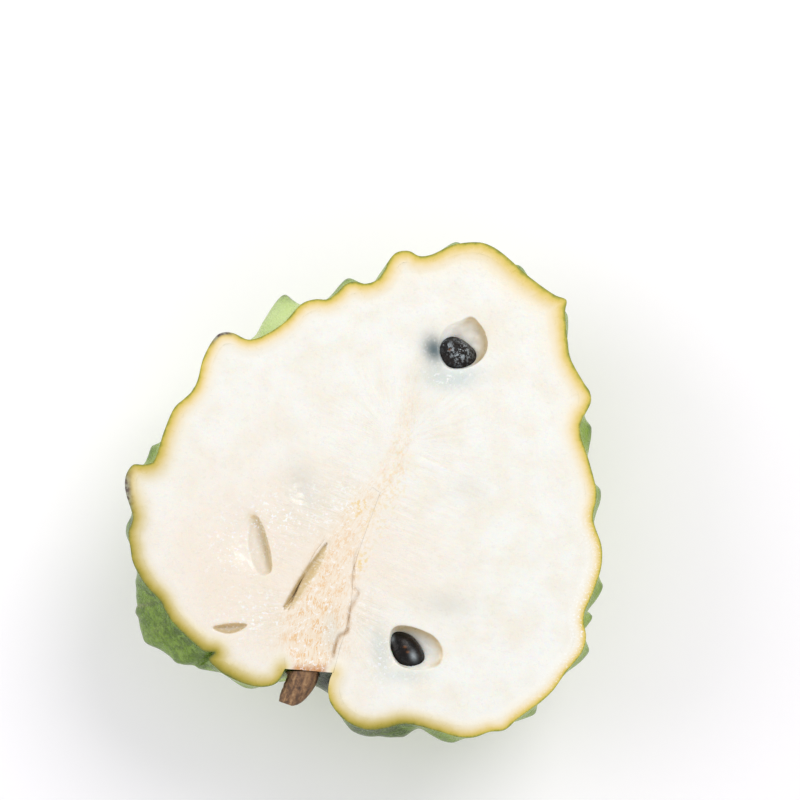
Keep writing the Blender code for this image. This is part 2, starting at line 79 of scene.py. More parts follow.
BLOSSOM_END = [
    (-26.9, 37.4), (-21.1, 40.8), (-16.3, 45.8), (-13.2, 46.8),
    (-10.3, 46.8), (-8.2, 48.2), (-6.0, 50.4), (-3.8, 51.1), (-1.0, 50.6),
    (1.7, 51.6), (3.4, 53.8), (4.6, 56.4), (6.5, 58.3), (9.4, 58.6),
    (11.8, 57.4), (14.4, 57.6), (20.4, 60.2), (26.6, 60.7), (29.3, 59.8),
    (31.9, 58.1), (38.4, 52.3), (44.6, 47.8), (47.3, 46.6), (47.0, 43.9),
]
RIGHT_FLANK = [
    (47.5, 36.7), (48.0, 32.9), (51.4, 26.4), (52.8, 24.2), (53.0, 21.8),
    (50.6, 17.0), (50.4, 14.4), (52.6, 7.0), (54.2, -0.5), (53.3, -6.2),
    (55.2, -12.5), (55.4, -15.6), (55.0, -18.5), (52.6, -25.2),
    (51.1, -28.6), (50.9, -31.2), (51.4, -34.3), (50.6, -37.7),
]
RIGHT_LOBE = [
    (46.1, -43.4), (43.7, -46.8), (41.0, -49.4), (34.8, -54.0),
    (31.9, -56.4), (28.3, -56.9), (24.7, -58.1), (21.1, -58.1),
    (16.8, -56.9), (8.4, -55.0), (4.3, -55.9), (0.0, -56.4), (-4.1, -55.2),
    (-7.2, -52.8), (-9.4, -49.7), (-9.8, -46.8), (-9.4, -44.4),
]
STEM_SEAT = [(-8.9, -42.7), (-12.0, -42.2), (-15.8, -41.8)]
OUTLINE = LEFT_LOBE + LEFT_FLANK + BLOSSOM_END + RIGHT_FLANK + RIGHT_LOBE + STEM_SEAT
OUTLINE_SAMPLES = 1440
SPLINE_STEPS = 24

# The round form of the back, and how far the outline's corners run down it.
DEEPEST_POINT = (4.0, -4.0)
BULGE = math.radians(9.0)
FULLNESS = 0.91
NARROW_FADE = math.radians(7.0)
WIDE_FADE = math.radians(18.0)
NARROW_SMOOTH_DEG = 7.0
WIDE_SMOOTH_DEG = 22.0
INNER_SMOOTH_DEG = 2.5

# Tubercles, as the solids have them. Their widths are to the stem's side, the
# blossom's side and sideways.
TUBERCLES_ON_WHOLE_FRUIT = 176
TURN_PER_TUBERCLE = math.radians(137.508)
FIRST_TURN = math.radians(240.0)
TUBERCLE_HEIGHT = 3.9
TUBERCLE_HEIGHT_SPREAD = 0.7
TUBERCLE_WANDER = 1.2
TUBERCLE_LEAN = 0.38
STEM_SIDE_LENGTH = 8.6
BLOSSOM_SIDE_LENGTH = 5.4
HALF_WIDTH = 6.8
PEAK_SHARPNESS = 0.46
PEAK_SHARE = 0.25
LEAST_TUBERCLE_DEPTH = 13.5
CLEAR_OF_EDGE_TUBERCLES = 10.5
CUT_FADE_DEPTH = 2.6
SEED_OF_WANDER = 7
SEARCH_WEIGHTS = (0.6, 0.6, 2.0)
SLOPE_STEP = 0.01
TUBERCLE_REACH = 12.0
TIP_FORWARD = 0.8
TIP_RADII = (2.4, 2.0)
# The three that the half rests on: X, Y and height.
RESTING_TUBERCLES = [(19.3, -10.4, 4.19), (-19.7, -20.7, 5.36), (6.5, 14.0, 4.84)]
RESTING_REACH = 2.0
CLEAR_OF_REST = 0.5
# Those near the cut: u, v, depth, height and width factor.
EDGE_TUBERCLES = [
    (-22.6, 46.3, 9.0, 6.4, 1.35), (-52.3, 10.3, 6.5, 2.0, 0.8), (-58.1, -7.9, 6.5, 1.8, 0.9),
    (-55.2, -22.3, 7.0, 3.0, 1.0), (-54.5, -31.0, 9.0, 7.5, 1.5), (-48.0, -36.5, 9.0, 6.0, 1.4),
    (-42.5, -41.5, 8.0, 4.4, 1.2), (-30.0, -48.0, 8.5, 2.4, 1.0), (-38.0, 40.5, 9.0, 2.6, 0.9),
    (-6.0, 51.8, 6.0, 2.2, 0.9), (5.0, 58.5, 9.0, 2.8, 0.9), (20.4, 62.4, 6.5, 2.2, 0.9),
    (36.0, 55.0, 8.5, 2.6, 0.9), (49.0, 44.0, 8.0, 2.4, 0.9), (52.3, 15.6, 7.5, 2.2, 0.9),
    (55.2, 0.0, 7.0, 1.8, 0.9), (55.4, -23.3, 7.0, 2.4, 0.9), (51.6, -38.4, 7.0, 2.8, 1.0),
    (38.0, -52.5, 8.0, 2.4, 0.9), (18.5, -58.8, 6.5, 2.4, 1.0), (6.5, -58.5, 6.5, 2.6, 1.1),
    (-3.0, -57.5, 6.5, 2.6, 1.1),
]

# Mesh density of the fine pieces, and of the cutters that make room for them.
RIM_SEGMENTS = 960
SKIN_SEGMENTS = 700
SKIN_RINGS = 150
INNER_SEGMENTS = 200
INNER_RINGS = 24
FACE_SPACING = 0.43
RIM_CROWDING = math.radians(6.0)
BAND_RINGS = 7
CORE_MESH = (150, 60)
CORE_ROOM_MESH = (60, 24)
STEM_MESH = (30, 64)
STEM_ROOM_MESH = (12, 32)
SEED_MESH = (70, 80)
SEED_ROOM_MESH = (40, 56)
JOIN_WITHIN = 0.02
SHORTEST_EDGE = 0.005
SHARP_ANGLE = math.radians(55.0)

# The skin's surface: the height, size and seed of its dents, and its grooves and scars.
SKIN_DENTS = [(0.22, 4.0, 11), (0.08, 1.6, 12)]
SKIN_SUNK = 0.15
GROOVE_WIDTH = 2.6
GROOVE_DEPTH = 0.35
SCAR_WIDTH = 0.55
SCAR_DEPTH = 0.25

# The middle of the core and of the stem, with half their width at each place.
CORE_LINE = [
    (-14.3, -42.2, 5.5), (-14.0, -38.5, 6.2), (-13.7, -34.8, 6.8),
    (-12.9, -31.5, 7.0), (-11.8, -28.1, 6.8), (-10.4, -22.8, 6.1),
    (-8.9, -17.3, 4.9), (-6.6, -12.7, 4.0), (-3.6, -7.4, 2.9),
    (-0.9, -3.0, 1.9), (1.4, 0.4, 0.9),
]
CORE_DEPTH_SHARE = 0.85
CORE_GROWTH = 0.26
STEM_LINE = [
    (-15.9, -42.6, 3.95), (-15.95, -43.6, 3.9), (-16.5, -45.0, 3.7),
    (-17.4, -46.9, 3.5), (-18.3, -48.8, 3.3), (-18.9, -50.5, 3.0),
]
STEM_AXIS_DEPTH = 4.0
STEM_END_V = -50.6
# The rings of its sunk end: how small each is, and how deep it lies.
STEM_END_RINGS = [(0.8, 0.25), (0.5, 0.32), (0.22, 0.2)]

UPPER_SEED = {
    "middle": (21.1, 33.3), "depth": 3.9, "half_sizes": (6.1, 4.7, 3.75),
    "heading": math.radians(-28.0), "dip": math.radians(18.0), "first_end": 0.0,
}
LOWER_SEED = {
    "middle": (8.7, -38.2), "depth": 3.9, "half_sizes": (6.6, 4.25, 3.6),
    "heading": math.radians(-50.5), "dip": math.radians(7.0), "first_end": 0.5,
}
SEED_POINT_SHARE = 0.22
SEED_SHARPNESS = 1.15
SEED_GAP = 0.12

# The hollows in the cut face. A gentle side lies in that direction from the deepest
# place, and mesh gives the rings and segments of the cutter.
UPPER_POCKET = {
    "edge": [
        (17.0, 38.4), (18.9, 40.6), (21.5, 41.6), (24.4, 42.8), (26.2, 41.2),
        (27.9, 38.2), (28.2, 34.9), (26.6, 32.0), (22.6, 30.0), (18.3, 30.4),
        (16.5, 33.6),
    ],
    "deepest": (23.4, 35.4), "depth": 4.4, "gentle": (-0.8, 0.6), "mesh": (26, 130),
}
LOWER_POCKET = {
    "edge": [
        (5.2, -32.8), (6.6, -31.8), (9.4, -31.9), (12.6, -32.9),
        (15.9, -34.8), (17.6, -37.9), (17.0, -41.0), (14.4, -42.1),
        (10.9, -42.3), (6.9, -41.0), (4.9, -37.4),
    ],
    "deepest": (11.2, -37.0), "depth": 4.4, "gentle": (0.7, -0.7), "mesh": (26, 130),
}
EMPTY_POCKET = {
    "edge": [
        (-27.4, -5.2), (-25.6, -7.8), (-24.4, -11.4), (-23.5, -15.4),
        (-23.6, -19.0), (-25.9, -19.8), (-28.6, -17.6), (-30.2, -13.4),
        (-30.0, -9.2), (-28.8, -6.2),
    ],
    "deepest": (-24.9, -14.0), "depth": 3.6, "gentle": (-1.0, -0.1), "mesh": (22, 120),
}
SLIT = {
    "edge": [
        (-37.4, -32.2), (-34.6, -31.4), (-31.2, -31.2), (-29.0, -31.5),
        (-30.6, -32.8), (-33.4, -33.6), (-35.8, -33.2),
    ],
    "deepest": (-33.0, -32.4), "depth": 2.4, "mesh": (8, 90),
}
CORE_CRACK = {
    "edge": [
        (-10.4, -12.3), (-12.6, -15.4), (-14.9, -18.6), (-17.0, -21.6),
        (-19.0, -25.2), (-20.4, -27.6), (-18.4, -26.2), (-16.4, -24.0),
        (-14.4, -20.6), (-12.2, -16.6),
    ],
    "deepest": (-15.9, -21.6), "depth": 3.2, "mesh": (10, 120),
}
HOLLOWS = {
    "upper_pocket": UPPER_POCKET, "lower_pocket": LOWER_POCKET, "empty_pocket": EMPTY_POCKET,
    "slit": SLIT, "core_crack": CORE_CRACK,
}
GENTLE_POWER = 1.5
CUTTER_RISE = 2.0
LIP_WIDTH = 1.3
LIP_DEPTH = 3.0
LIP_SOFTENING = 0.75
LIP_ROUNDS = 4

# Lines on the cut face.
RIGHT_FISSURE = [
    (-8.9, -42.0), (-8.3, -37.2), (-7.2, -34.3), (-5.4, -33.2), (-4.7, -28.1),
    (-2.6, -24.0), (-3.8, -22.6), (-3.8, -19.2), (-3.1, -14.4), (-1.9, -12.0),
]
FIBRE_LINE = [
    (-4.2, -13.5), (-1.2, -7.9), (3.6, 0.0), (7.7, 6.2), (10.1, 15.8),
    (10.3, 20.6), (9.1, 23.8), (11.5, 29.3),
]
LEFT_FIBRE_LINE = [(-9.5, -12.5), (-8.8, -5.5), (-6.0, 1.5), (-5.0, 6.0)]
# The middle of the fibrous zone, and how wide it is, from the stem to the upper seed.
FIBRE_AXIS = [
    (-14.3, -42.2), (-13.9, -36.0), (-12.6, -30.0), (-10.4, -22.8), (-8.0, -15.5),
    (-3.6, -7.4), (1.4, 0.4), (6.0, 7.0), (8.6, 15.8), (9.6, 22.0), (9.4, 27.0), (11.5, 31.0),
]
FIBRE_WIDTHS = [7.6, 7.8, 7.4, 6.4, 5.2, 4.4, 3.6, 3.0, 2.6, 2.2, 2.0, 1.6]
FIBRE_TINT = [1.0, 1.0, 0.95, 0.85, 0.7, 0.5, 0.42, 0.36, 0.3, 0.26, 0.2, 0.1]
CORE_FOOT_V = -42.4
# Where a hollow's lip is sharp, its inner side is darkest: tan that is partly the cut's own colour and
# partly painted shadow under the overhanging lip.
UPPER_LIP = [
    (24.0, 42.7), (25.4, 42.2), (26.9, 40.1), (27.8, 37.9), (28.1, 35.8), (27.4, 33.6), (26.4, 32.2),
]
LOWER_LIP = [
    (6.7, -32.4), (9.1, -32.2), (12.0, -32.9), (14.6, -34.1), (16.3, -35.8), (17.3, -37.7),
    (17.3, -39.8), (15.8, -41.8),
]
EMPTY_LIP = [(-27.6, -5.5), (-25.9, -8.4), (-25.0, -12.0), (-24.2, -15.6), (-23.5, -18.7)]
# Each sharp lip, and how far its tan and painted shadow run.
LIPS = [(UPPER_LIP, 1.9), (LOWER_LIP, 1.2), (EMPTY_LIP, 1.3)]
# The crack left of the core: a dark line, with a tan wall on its right.
LEFT_CRACK = [
    (-10.2, -12.0), (-12.2, -14.9), (-14.1, -17.5), (-15.8, -19.9), (-17.1, -22.0), (-19.0, -25.3),
    (-20.5, -27.8),
]
# Fibres run out from this line. They start a little away from it and fade further out.
MIDDLE_LINE = [(-9.0, -27.0), (7.0, 12.0)]
SPREAD_RADIUS = 16.0
SPREAD_START = 6.0
SPREAD_REACH = 20.0
INNER_ZONE = 18.0

# The relief of the cut face. Waves have a height, a size and a seed.
FACE_SUNK = 0.32
FACE_WAVES = [(0.128, 13.0, 1), (0.056, 5.0, 2)]
FIBRE_HEIGHT = 0.11
FISSURE_DEPTH = 0.6
FIBRE_FURROW = 0.15
CRACK_DEPTH = 1.3

# Soft oval patches: weight, middle u and v, reach along and across, and turn in degrees.
FACE_HOLLOWS = [
    (0.9, -15.6, 0.5, 3, 5.6, 20), (1.1, -29.5, -12, 3.6, 7.5, 12),
    (0.35, 14.4, 33.5, 3.4, 4.2, 0),
]
STEM_SEAT_PATCH = [(1, -14.2, -41, 30, 4.5, 0)]
RIM_WIDTHS = [
    (0.35, -40, -41, 13, 7, -30), (0.45, 0, 55, 34, 14, 0),
    (0.9, 38, 52, 18, 14, -40), (0.45, 50, 22, 9, 20, 0),
    (0.45, -52, 16, 12, 20, 0), (-0.3, 50, -36, 16, 26, 0),
]
FACE_PATCHES = {
    # Where the rim has painted white glints of wet beads.
    "beads": [(1, 50, -30, 16, 24, 0)],
    "olive": [
        (1, -50, -18, 14, 24, 0), (1, -36, -44, 18, 10, 0),
        (1, 4, -56, 17, 9, 0),
    ],
    "warm": [
        (1, -34, -20, 20, 24, 0), (0.8, -12, -20, 16, 26, 0),
        (0.5, 8, -16, 12, 10, 0), (0.7, -40, -36, 8, 5, -35),
    ],
    # Painted shade in the small hollow left of the core's top, and the grey of seeds lying under the
    # flesh.
    "grey_seed_and_shade": [
        (0.6, -15.6, 0.5, 3.6, 6.2, 20), (0.3, 23, 0.7, 4.6, 3.2, 0),
        (0.5, 18.5, -26.9, 6.4, 2.8, -8),
    ],
    "blue": [
        (0.75, 21.5, 27.6, 5.5, 2.6, 10), (0.5, 15, 28.5, 4, 3, 0),
        (0.6, 2.6, -37.4, 2.2, 5.6, 8), (0.5, 9, -43.6, 5, 1.8, 0),
        (0.35, -9, -33, 2, 5, 0),
    ],
    "stain": [(1, 15.4, 34.6, 2.6, 3.4, 20)],
    "gold": [
        (1, -1.9, -17, 1.3, 3.2, -20), (0.8, -3.2, -3.4, 2.4, 2.6, 0),
        (0.5, 2, -4, 5, 11, -30), (0.4, 7.5, 12, 2.6, 9, -10),
    ],
    # Where the flesh has darker smears and painted white glints.
    "moist_smears_and_glints": [
        (1, -32, -13, 7, 9, 0), (1, -22, -6, 7, 7, 0),
        (1, -26, -30, 10, 6, 0), (0.8, -6, -4, 9, 9, 0),
        (0.9, 3, -40, 4, 7, 0), (0.7, -4, -28, 6, 6, 0),
    ],
}
# Brown spots on the rim, each with how far in it reaches and how softly it ends.
RIM_BROWNS = [
    ((1, -59, -0.6, 2, 6, 0), 2, 0.8), ((1, -36.4, 38.6, 3, 2.6, 0), 0.9, 0.4),
]
PALE_SKIN = [(1, -23, 44, 8, 7, 0)]
# Painted shade: the skin near the cut is darkened green where it lies under the face's edge, most in these
# patches.
PAINTED_SHADE_PATCHES = [
    (1, -48, -34, 16, 12, -35), (0.9, 0, -58, 14, 7, 0),
    (0.8, -57, -10, 6, 14, 0), (1, -10, -45, 5, 6, 0),
]
# Painted shadow in the stem's notch, and a strip along the bottom edge darkened further.
STEM_NOTCH_SHADOW = [(1, -10.6, -45, 5, 5, 0)]
DARK_STRIP = [(0.7, -2, -59, 11, 4.5, 0)]
# Painted shade that all the skin near the cut gets, and the depth below the cut over which the skin's
# marks near the cut fade.
PAINTED_SHADE_ALL_ROUND = 0.45
UPRIGHT_DEPTH = 14.0
SEED_PATCHES = {
    "rust": [
        (1, 19.2, 34.5, 0.34, 0.24, 0), (1, 8.4, -36.8, 0.34, 0.24, 0),
        (1, 9.1, -38, 0.34, 0.24, 0),
    ],
    # Painted bluish-white highlights on the seeds.
    "seed_highlight": [
        (1, 21.7, 34.2, 2.4, 2.6, -30), (0.5, 18, 36, 2, 1, -30),
        (0.75, 10.4, -38.9, 0.75, 1.15, 20), (0.5, 5.3, -34.9, 0.5, 0.8, 0),
    ],
}
# The corners of the stem's seat in the outline.
SEAT_LOW = (-18.8, -44.0)
SEAT_HIGH = (-9.9, -40.0)

# Colours, from the outermost edge inward: share of the rim's reach, and colour.
RIM_REACH = 5.0
YELLOW_RIM = [
    (0.0, "#76801E"), (0.045, "#B4AA34"), (0.09, "#DCC456"), (0.17, "#EACF7C"), (0.27, "#F3DDA4"),
    (0.4, "#F8E9C8"), (0.6, "#F9F2E0"), (1.0, "#F9F7EE"),
]
GREEN_RIM = [
    (0.0, "#58621A"), (0.06, "#8C8420"), (0.14, "#A69628"), (0.24, "#BCA94C"), (0.36, "#CFBD74"),
    (0.54, "#E2D3A4"), (0.8, "#EDE2CA"), (1.0, "#F1E8DA"),
]
# What lies over the flesh: where, how strongly, and its colour.
FACE_TINTS = [
    ("line", 0.85, "#BE9150"), ("crack_wall", 0.75, "#DDBE8C"), ("crack", 0.9, "#8B6B3C"),
    # The lip tint: tan that is partly the cut's own colour and partly painted shadow under the sharp lips.
    # The wall tint is painted light: the hollows' deeper walls are whitened against their shade.
    ("wall_painted_light", 0.8, "#FFFBF2"), ("lip", 0.85, "#D9BF88"), ("blue", 0.75, "#C4D2CE"),
    ("stain", 1.0, "#5E7074"),
]
FACE_DIMMING = (0.92, 0.92, 0.925, 1.0)
BARK = [(0.34, "#3A291D"), (0.46, "#6B4E38"), (0.56, "#96714E"), (0.68, "#C2A077")]

# The floor, the camera and the lights, in metres and watts. The lens is in
# millimetres, and the camera's aim is a place on the sheet.
FLOOR_LEVEL = -0.0002
CAMERA_AIM = (7.2, 22.3)
CAMERA_ELEVATION = math.radians(82.5)
CAMERA_DISTANCE = 0.7253
CAMERA_LENS = 136.0
LIGHT_AIM = (0.0, 0.0, 0.04)
# Each light's place by the picture's right, up and height, its size, power and tint.
LIGHTS = [
    ("key", (0.4, 0.5, 0.78), 0.6, 4.1, (1.0, 0.99, 0.97)),
    ("fill", (-0.7, 0.1, 0.6), 0.7, 2.3, (0.98, 0.99, 1.0)),
    ("front", (-0.1, -0.9, 0.5), 0.6, 1.2, (1.0, 1.0, 1.0)),
]
BACKDROP_COLOUR = (0.96, 0.97, 1.0, 1.0)
BACKDROP_STRENGTH = 0.65


def place(u, v):
    """Turn a point of the outline's sheet into the part's own X and Y."""
    x = u * math.cos(OUTLINE_LEAN) - v * math.sin(OUTLINE_LEAN)
    y = u * math.sin(OUTLINE_LEAN) + v * math.cos(OUTLINE_LEAN)
    return (x - CENTRE_X, y - CENTRE_Y)


def sheet(points):
    """Turn points of the part back into places on the outline's sheet."""
    x, y = points[:, 0] + CENTRE_X, points[:, 1] + CENTRE_Y
    u = x * math.cos(OUTLINE_LEAN) + y * math.sin(OUTLINE_LEAN)
    v = -x * math.sin(OUTLINE_LEAN) + y * math.cos(OUTLINE_LEAN)
    return np.column_stack([u, v])


def even_spline(points, samples, closed=True):
    """Run a centripetal spline through the points and space it out evenly."""
    knots = np.array(points, float)
    if closed:
        before, after = np.roll(knots, 1, 0), np.roll(knots, -1, 0)
        after_next = np.roll(knots, -2, 0)
    else:
        padded = np.vstack([2 * knots[0] - knots[1], knots, 2 * knots[-1] - knots[-2]])
        before, after, after_next = padded[:-3], padded[2:-1], padded[3:]
        knots = padded[1:-2]
    steps = np.linspace(0.0, 1.0, SPLINE_STEPS, endpoint=False)
    dense = []
    for p0, p1, p2, p3 in zip(before, knots, after, after_next):
        t1 = max(np.linalg.norm(p1 - p0), 1e-6) ** 0.5
        t2 = t1 + max(np.linalg.norm(p2 - p1), 1e-6) ** 0.5
        t3 = t2 + max(np.linalg.norm(p3 - p2), 1e-6) ** 0.5
        for step in steps:
            t = t1 + (t2 - t1) * step
            a1 = p0 + (p1 - p0) * t / t1
            a2 = p1 + (p2 - p1) * (t - t1) / (t2 - t1)
            a3 = p2 + (p3 - p2) * (t - t2) / (t3 - t2)
            b1 = a1 + (a2 - a1) * t / t2
            b2 = a2 + (a3 - a2) * (t - t1) / (t3 - t1)
            dense.append(b1 + (b2 - b1) * (t - t1) / (t2 - t1))
    last = dense[0] if closed else np.array(points[-1], float)
    dense = np.vstack([dense, last])
    lengths = np.linalg.norm(np.diff(dense, axis=0), axis=1)
    along = np.concatenate([[0.0], np.cumsum(lengths)])
    wanted = np.linspace(0.0, along[-1], samples, endpoint=not closed)
    columns = [np.interp(wanted, along, column) for column in dense.T]
    return np.stack(columns, axis=1)


def smoothed(curve, degrees):
    """Round off a closed curve with a bell-shaped average along it."""
    sigma = degrees / 360.0 * len(curve)
    reach = int(3 * sigma)
    result = np.zeros_like(curve)
    total = 0.0
    for shift in range(-reach, reach + 1):
        weight = math.exp(-0.5 * (shift / sigma) ** 2)
        result += weight * np.roll(curve, shift, axis=0)
        total += weight
    return result / total


def moved_inward(curve, distance):
    """Move a closed clockwise curve towards its inside."""
    along = np.roll(curve, -4, axis=0) - np.roll(curve, 4, axis=0)
    along /= np.linalg.norm(along, axis=1)[:, None]
    inward = np.stack([along[:, 1], -along[:, 0]], axis=1)
    return curve + inward * distance


def outline_set(inset):
    """The outline at the cut and its two rounder forms, all moved inward."""
    drawn = even_spline([place(u, v) for u, v in OUTLINE], OUTLINE_SAMPLES)
    if inset:
        rim = smoothed(moved_inward(drawn, inset), INNER_SMOOTH_DEG)
    else:
        rim = drawn
    middle = moved_inward(smoothed(drawn, NARROW_SMOOTH_DEG), inset)
    broad = moved_inward(smoothed(drawn, WIDE_SMOOTH_DEG), inset)
    return rim, middle, broad


def sampled(curve, share):
    """Read a closed curve at shares of its length."""
    places = np.mod(np.asarray(share, float), 1.0) * len(curve)
    first = np.floor(places).astype(int)
    part = (places - first)[:, None]
    return curve[first % len(curve)] * (1 - part) + curve[(first + 1) % len(curve)] * part


def back_surface(outlines, depth, share, angle):
    """Points of the back: share runs round the outline, angle down from the cut."""
    rim, middle, broad = (sampled(curve, share) for curve in outlines)
    angle = np.asarray(angle, float)
    narrow = np.exp(-((angle / NARROW_FADE) ** 2))[:, None]
    wide = np.exp(-((angle / WIDE_FADE) ** 2))[:, None]
    level = broad + (middle - broad) * wide + (rim - middle) * narrow
    lean = angle * (math.pi / 2 + BULGE) / (math.pi / 2) - BULGE
    reach = np.clip(np.cos(lean) / math.cos(BULGE), 0.0, None) ** FULLNESS
    drop = np.clip((np.sin(lean) + math.sin(BULGE)) / (1 + math.sin(BULGE)), 0.0, 1.0) ** FULLNESS
    middle_point = np.array(place(*DEEPEST_POINT))
    flat = middle_point + reach[:, None] * (level - middle_point)
    return np.column_stack([flat, -depth * drop])


def tubercle_field(outlines):
    """Where each tubercle grows: outline share, angle, height and width factor."""
    shares, angles = np.meshgrid(np.arange(720) / 720.0, np.radians(np.arange(1, 180) / 2.0))
    shares, angles = shares.ravel(), angles.ravel()
    grid = back_surface(outlines, HALF_DEPTH, shares, angles)
    middle = np.array([*place(*DEEPEST_POINT), 0.0])
    rays = (grid - middle) / np.linalg.norm(grid - middle, axis=1)[:, None]
    edge, spiral = [], []
    for u, v, depth, height, width in EDGE_TUBERCLES:
        wanted = np.array([*place(u, v), -depth])
        flat = np.linalg.norm((grid - wanted) * np.array(SEARCH_WEIGHTS), axis=1)
        found = int(np.argmin(flat))
        edge.append((shares[found], angles[found], height, width, grid[found]))
    wander = np.random.RandomState(SEED_OF_WANDER)
    for index in range(TUBERCLES_ON_WHOLE_FRUIT):
        along = 1 - 2 * (index + 0.5) / TUBERCLES_ON_WHOLE_FRUIT
        turn = FIRST_TURN + index * TURN_PER_TUBERCLE
        across = math.sqrt(1 - along * along)
        shift = wander.uniform(-1, 1, 3) * TUBERCLE_WANDER / HALF_DEPTH
        height = TUBERCLE_HEIGHT + wander.uniform(-1, 1) * TUBERCLE_HEIGHT_SPREAD
        ray = np.array([across * math.cos(turn), along, across * math.sin(turn)]) + shift
        found = int(np.argmax(rays @ ray))
        point = grid[found]
        clear = all(
            np.linalg.norm(point - other[4]) > CLEAR_OF_EDGE_TUBERCLES for other in edge
        )
        height = min(height, REST_DEPTH - CLEAR_OF_REST + point[2])
        for x, y, resting_height in RESTING_TUBERCLES:
            if math.hypot(point[0] - x, point[1] - y) < RESTING_REACH:
                height = resting_height
        if ray[2] < 0 and point[2] < -LEAST_TUBERCLE_DEPTH and clear:
            spiral.append((shares[found], angles[found], height, 1.0, point))
    return edge + spiral


def raised(points, field, outlines):
    """Lift the tubercles out of the smooth back. Also says how near each tip is."""
    lifted = points.copy()
    rise = np.zeros(len(points))
    tip = np.zeros(len(points))
    below_cut = 1 - np.exp(-((points[:, 2] / CUT_FADE_DEPTH) ** 2))
    step = SLOPE_STEP
    for share, angle, height, width, _ in field:
        around = back_surface(
            outlines, HALF_DEPTH,
            [share, share + step, share - step, share, share],
            [angle, angle, angle, min(angle + step * 4, math.pi / 2), angle - step * 4],
        )
        centre = around[0]
        out = np.cross(around[1] - around[2], around[3] - around[4])
        out /= np.linalg.norm(out)
        if out @ (centre - np.array([*place(*DEEPEST_POINT), 0.0])) < 0:
            out = -out
        to_blossom = np.array([0.0, 1.0, 0.0]) - out * out[1]
        to_blossom /= max(np.linalg.norm(to_blossom), 1e-6)
        sideways = np.cross(out, to_blossom)
        away = points - centre
        forward = away @ to_blossom
        length = np.where(forward > 0, BLOSSOM_SIDE_LENGTH, STEM_SIDE_LENGTH) * width
        radius = np.hypot(forward / length, away @ sideways / (HALF_WIDTH * width))
        radius = np.where(np.abs(away @ out) > TUBERCLE_REACH, 2.0, radius)
        dome = np.clip(1 - radius ** 2, 0, None) ** 2
        peak = np.exp(-((radius / PEAK_SHARPNESS) ** 2)) * (radius < 1.6)
        form = (1 - PEAK_SHARE) * dome + PEAK_SHARE * peak
        push = (height * form * below_cut)[:, None]
        lifted += push * (out + TUBERCLE_LEAN * form[:, None] * to_blossom)
        rise = np.maximum(rise, form * below_cut)
        tip_along = (forward - TIP_FORWARD) / (TIP_RADII[0] * width)
        leaning = np.hypot(tip_along, away @ sideways / (TIP_RADII[1] * width))
        tip = np.maximum(tip, np.exp(-leaning ** 2) * below_cut * (radius < 1.2))
    return lifted, rise, tip


def noise_at(points, size, seed):
    """Smooth noise between -1 and 1, with bumps about size across."""
    shift = Vector((seed * 17.3, seed * -9.1, seed * 5.7))
    scale = 1.0 / size
    return np.array([noise.noise(Vector(p) * scale + shift) for p in points])


def line_frame(places, line, samples=80):
    """Signed distance from a drawn line, how far along it, and the line's length."""
    drawn = even_spline(line, samples, closed=False)
    nearest = np.full(len(places), 1e9)
    across = np.zeros(len(places))
    along = np.zeros(len(places))
    length = np.linalg.norm(drawn[1] - drawn[0])
    for index in range(len(drawn) - 1):
        a, step = drawn[index], drawn[index + 1] - drawn[index]
        t = np.clip((places - a) @ step / (step @ step), 0, 1)
        away = places - a - t[:, None] * step
        apart = np.linalg.norm(away, axis=1)
        side = np.sign(step[0] * away[:, 1] - step[1] * away[:, 0])
        closer = apart < nearest
        nearest[closer] = apart[closer]
        across[closer] = (apart * side)[closer]
        along[closer] = (index + t[closer]) * length
    return across, along, length * (len(drawn) - 1)


def distance_to_line(places, line):
    """How far places on the sheet are from a drawn line, and how far along it."""
    across, along, length = line_frame(places, line, 60)
    return np.abs(across), along / length


def distance_to_edge(places, hollow):
    """How far places on the sheet are from a hollow's edge."""
    return distance_to_line(places, hollow["edge"] + hollow["edge"][:1])[0]


def spread_frame(places):
    """Where each place lies round the middle line, how far away, and how fibrous it is."""
    start, end = np.array(MIDDLE_LINE[0]), np.array(MIDDLE_LINE[1])
    step = end - start
    t = np.clip((places - start) @ step / (step @ step), 0, 1)
    away = places - start - t[:, None] * step
    apart = np.linalg.norm(away, axis=1)
    around = away / np.maximum(apart, 0.1)[:, None] * SPREAD_RADIUS + t[:, None] * step
    return around, apart, np.clip(apart / SPREAD_START - 0.3, 0, 1)


def core_half_width(places):
    """Half the core's width beside each place, zero past its ends."""
    _, along, length = line_frame(places, [(u, v) for u, v, _ in CORE_LINE])
    steps = np.linspace(0.0, length, len(CORE_LINE))
    return np.interp(along, steps, [width for _, _, width in CORE_LINE])


def bell(distance, width, power=2):
    """1 on a line and near 0 a few widths away from it."""
    return np.exp(-((distance / width) ** power))


def patches(places, rows):
    """The sum of soft oval patches on the sheet."""
    total = np.zeros(len(places))
    for weight, u, v, reach_along, reach_across, turn_deg in rows:
        turn = math.radians(turn_deg)
        away = places - np.array([u, v])
        along = away[:, 0] * math.cos(turn) + away[:, 1] * math.sin(turn)
        across = -away[:, 0] * math.sin(turn) + away[:, 1] * math.cos(turn)
        total += weight * np.exp(-((along / reach_along) ** 2) - (across / reach_across) ** 2)
    return total


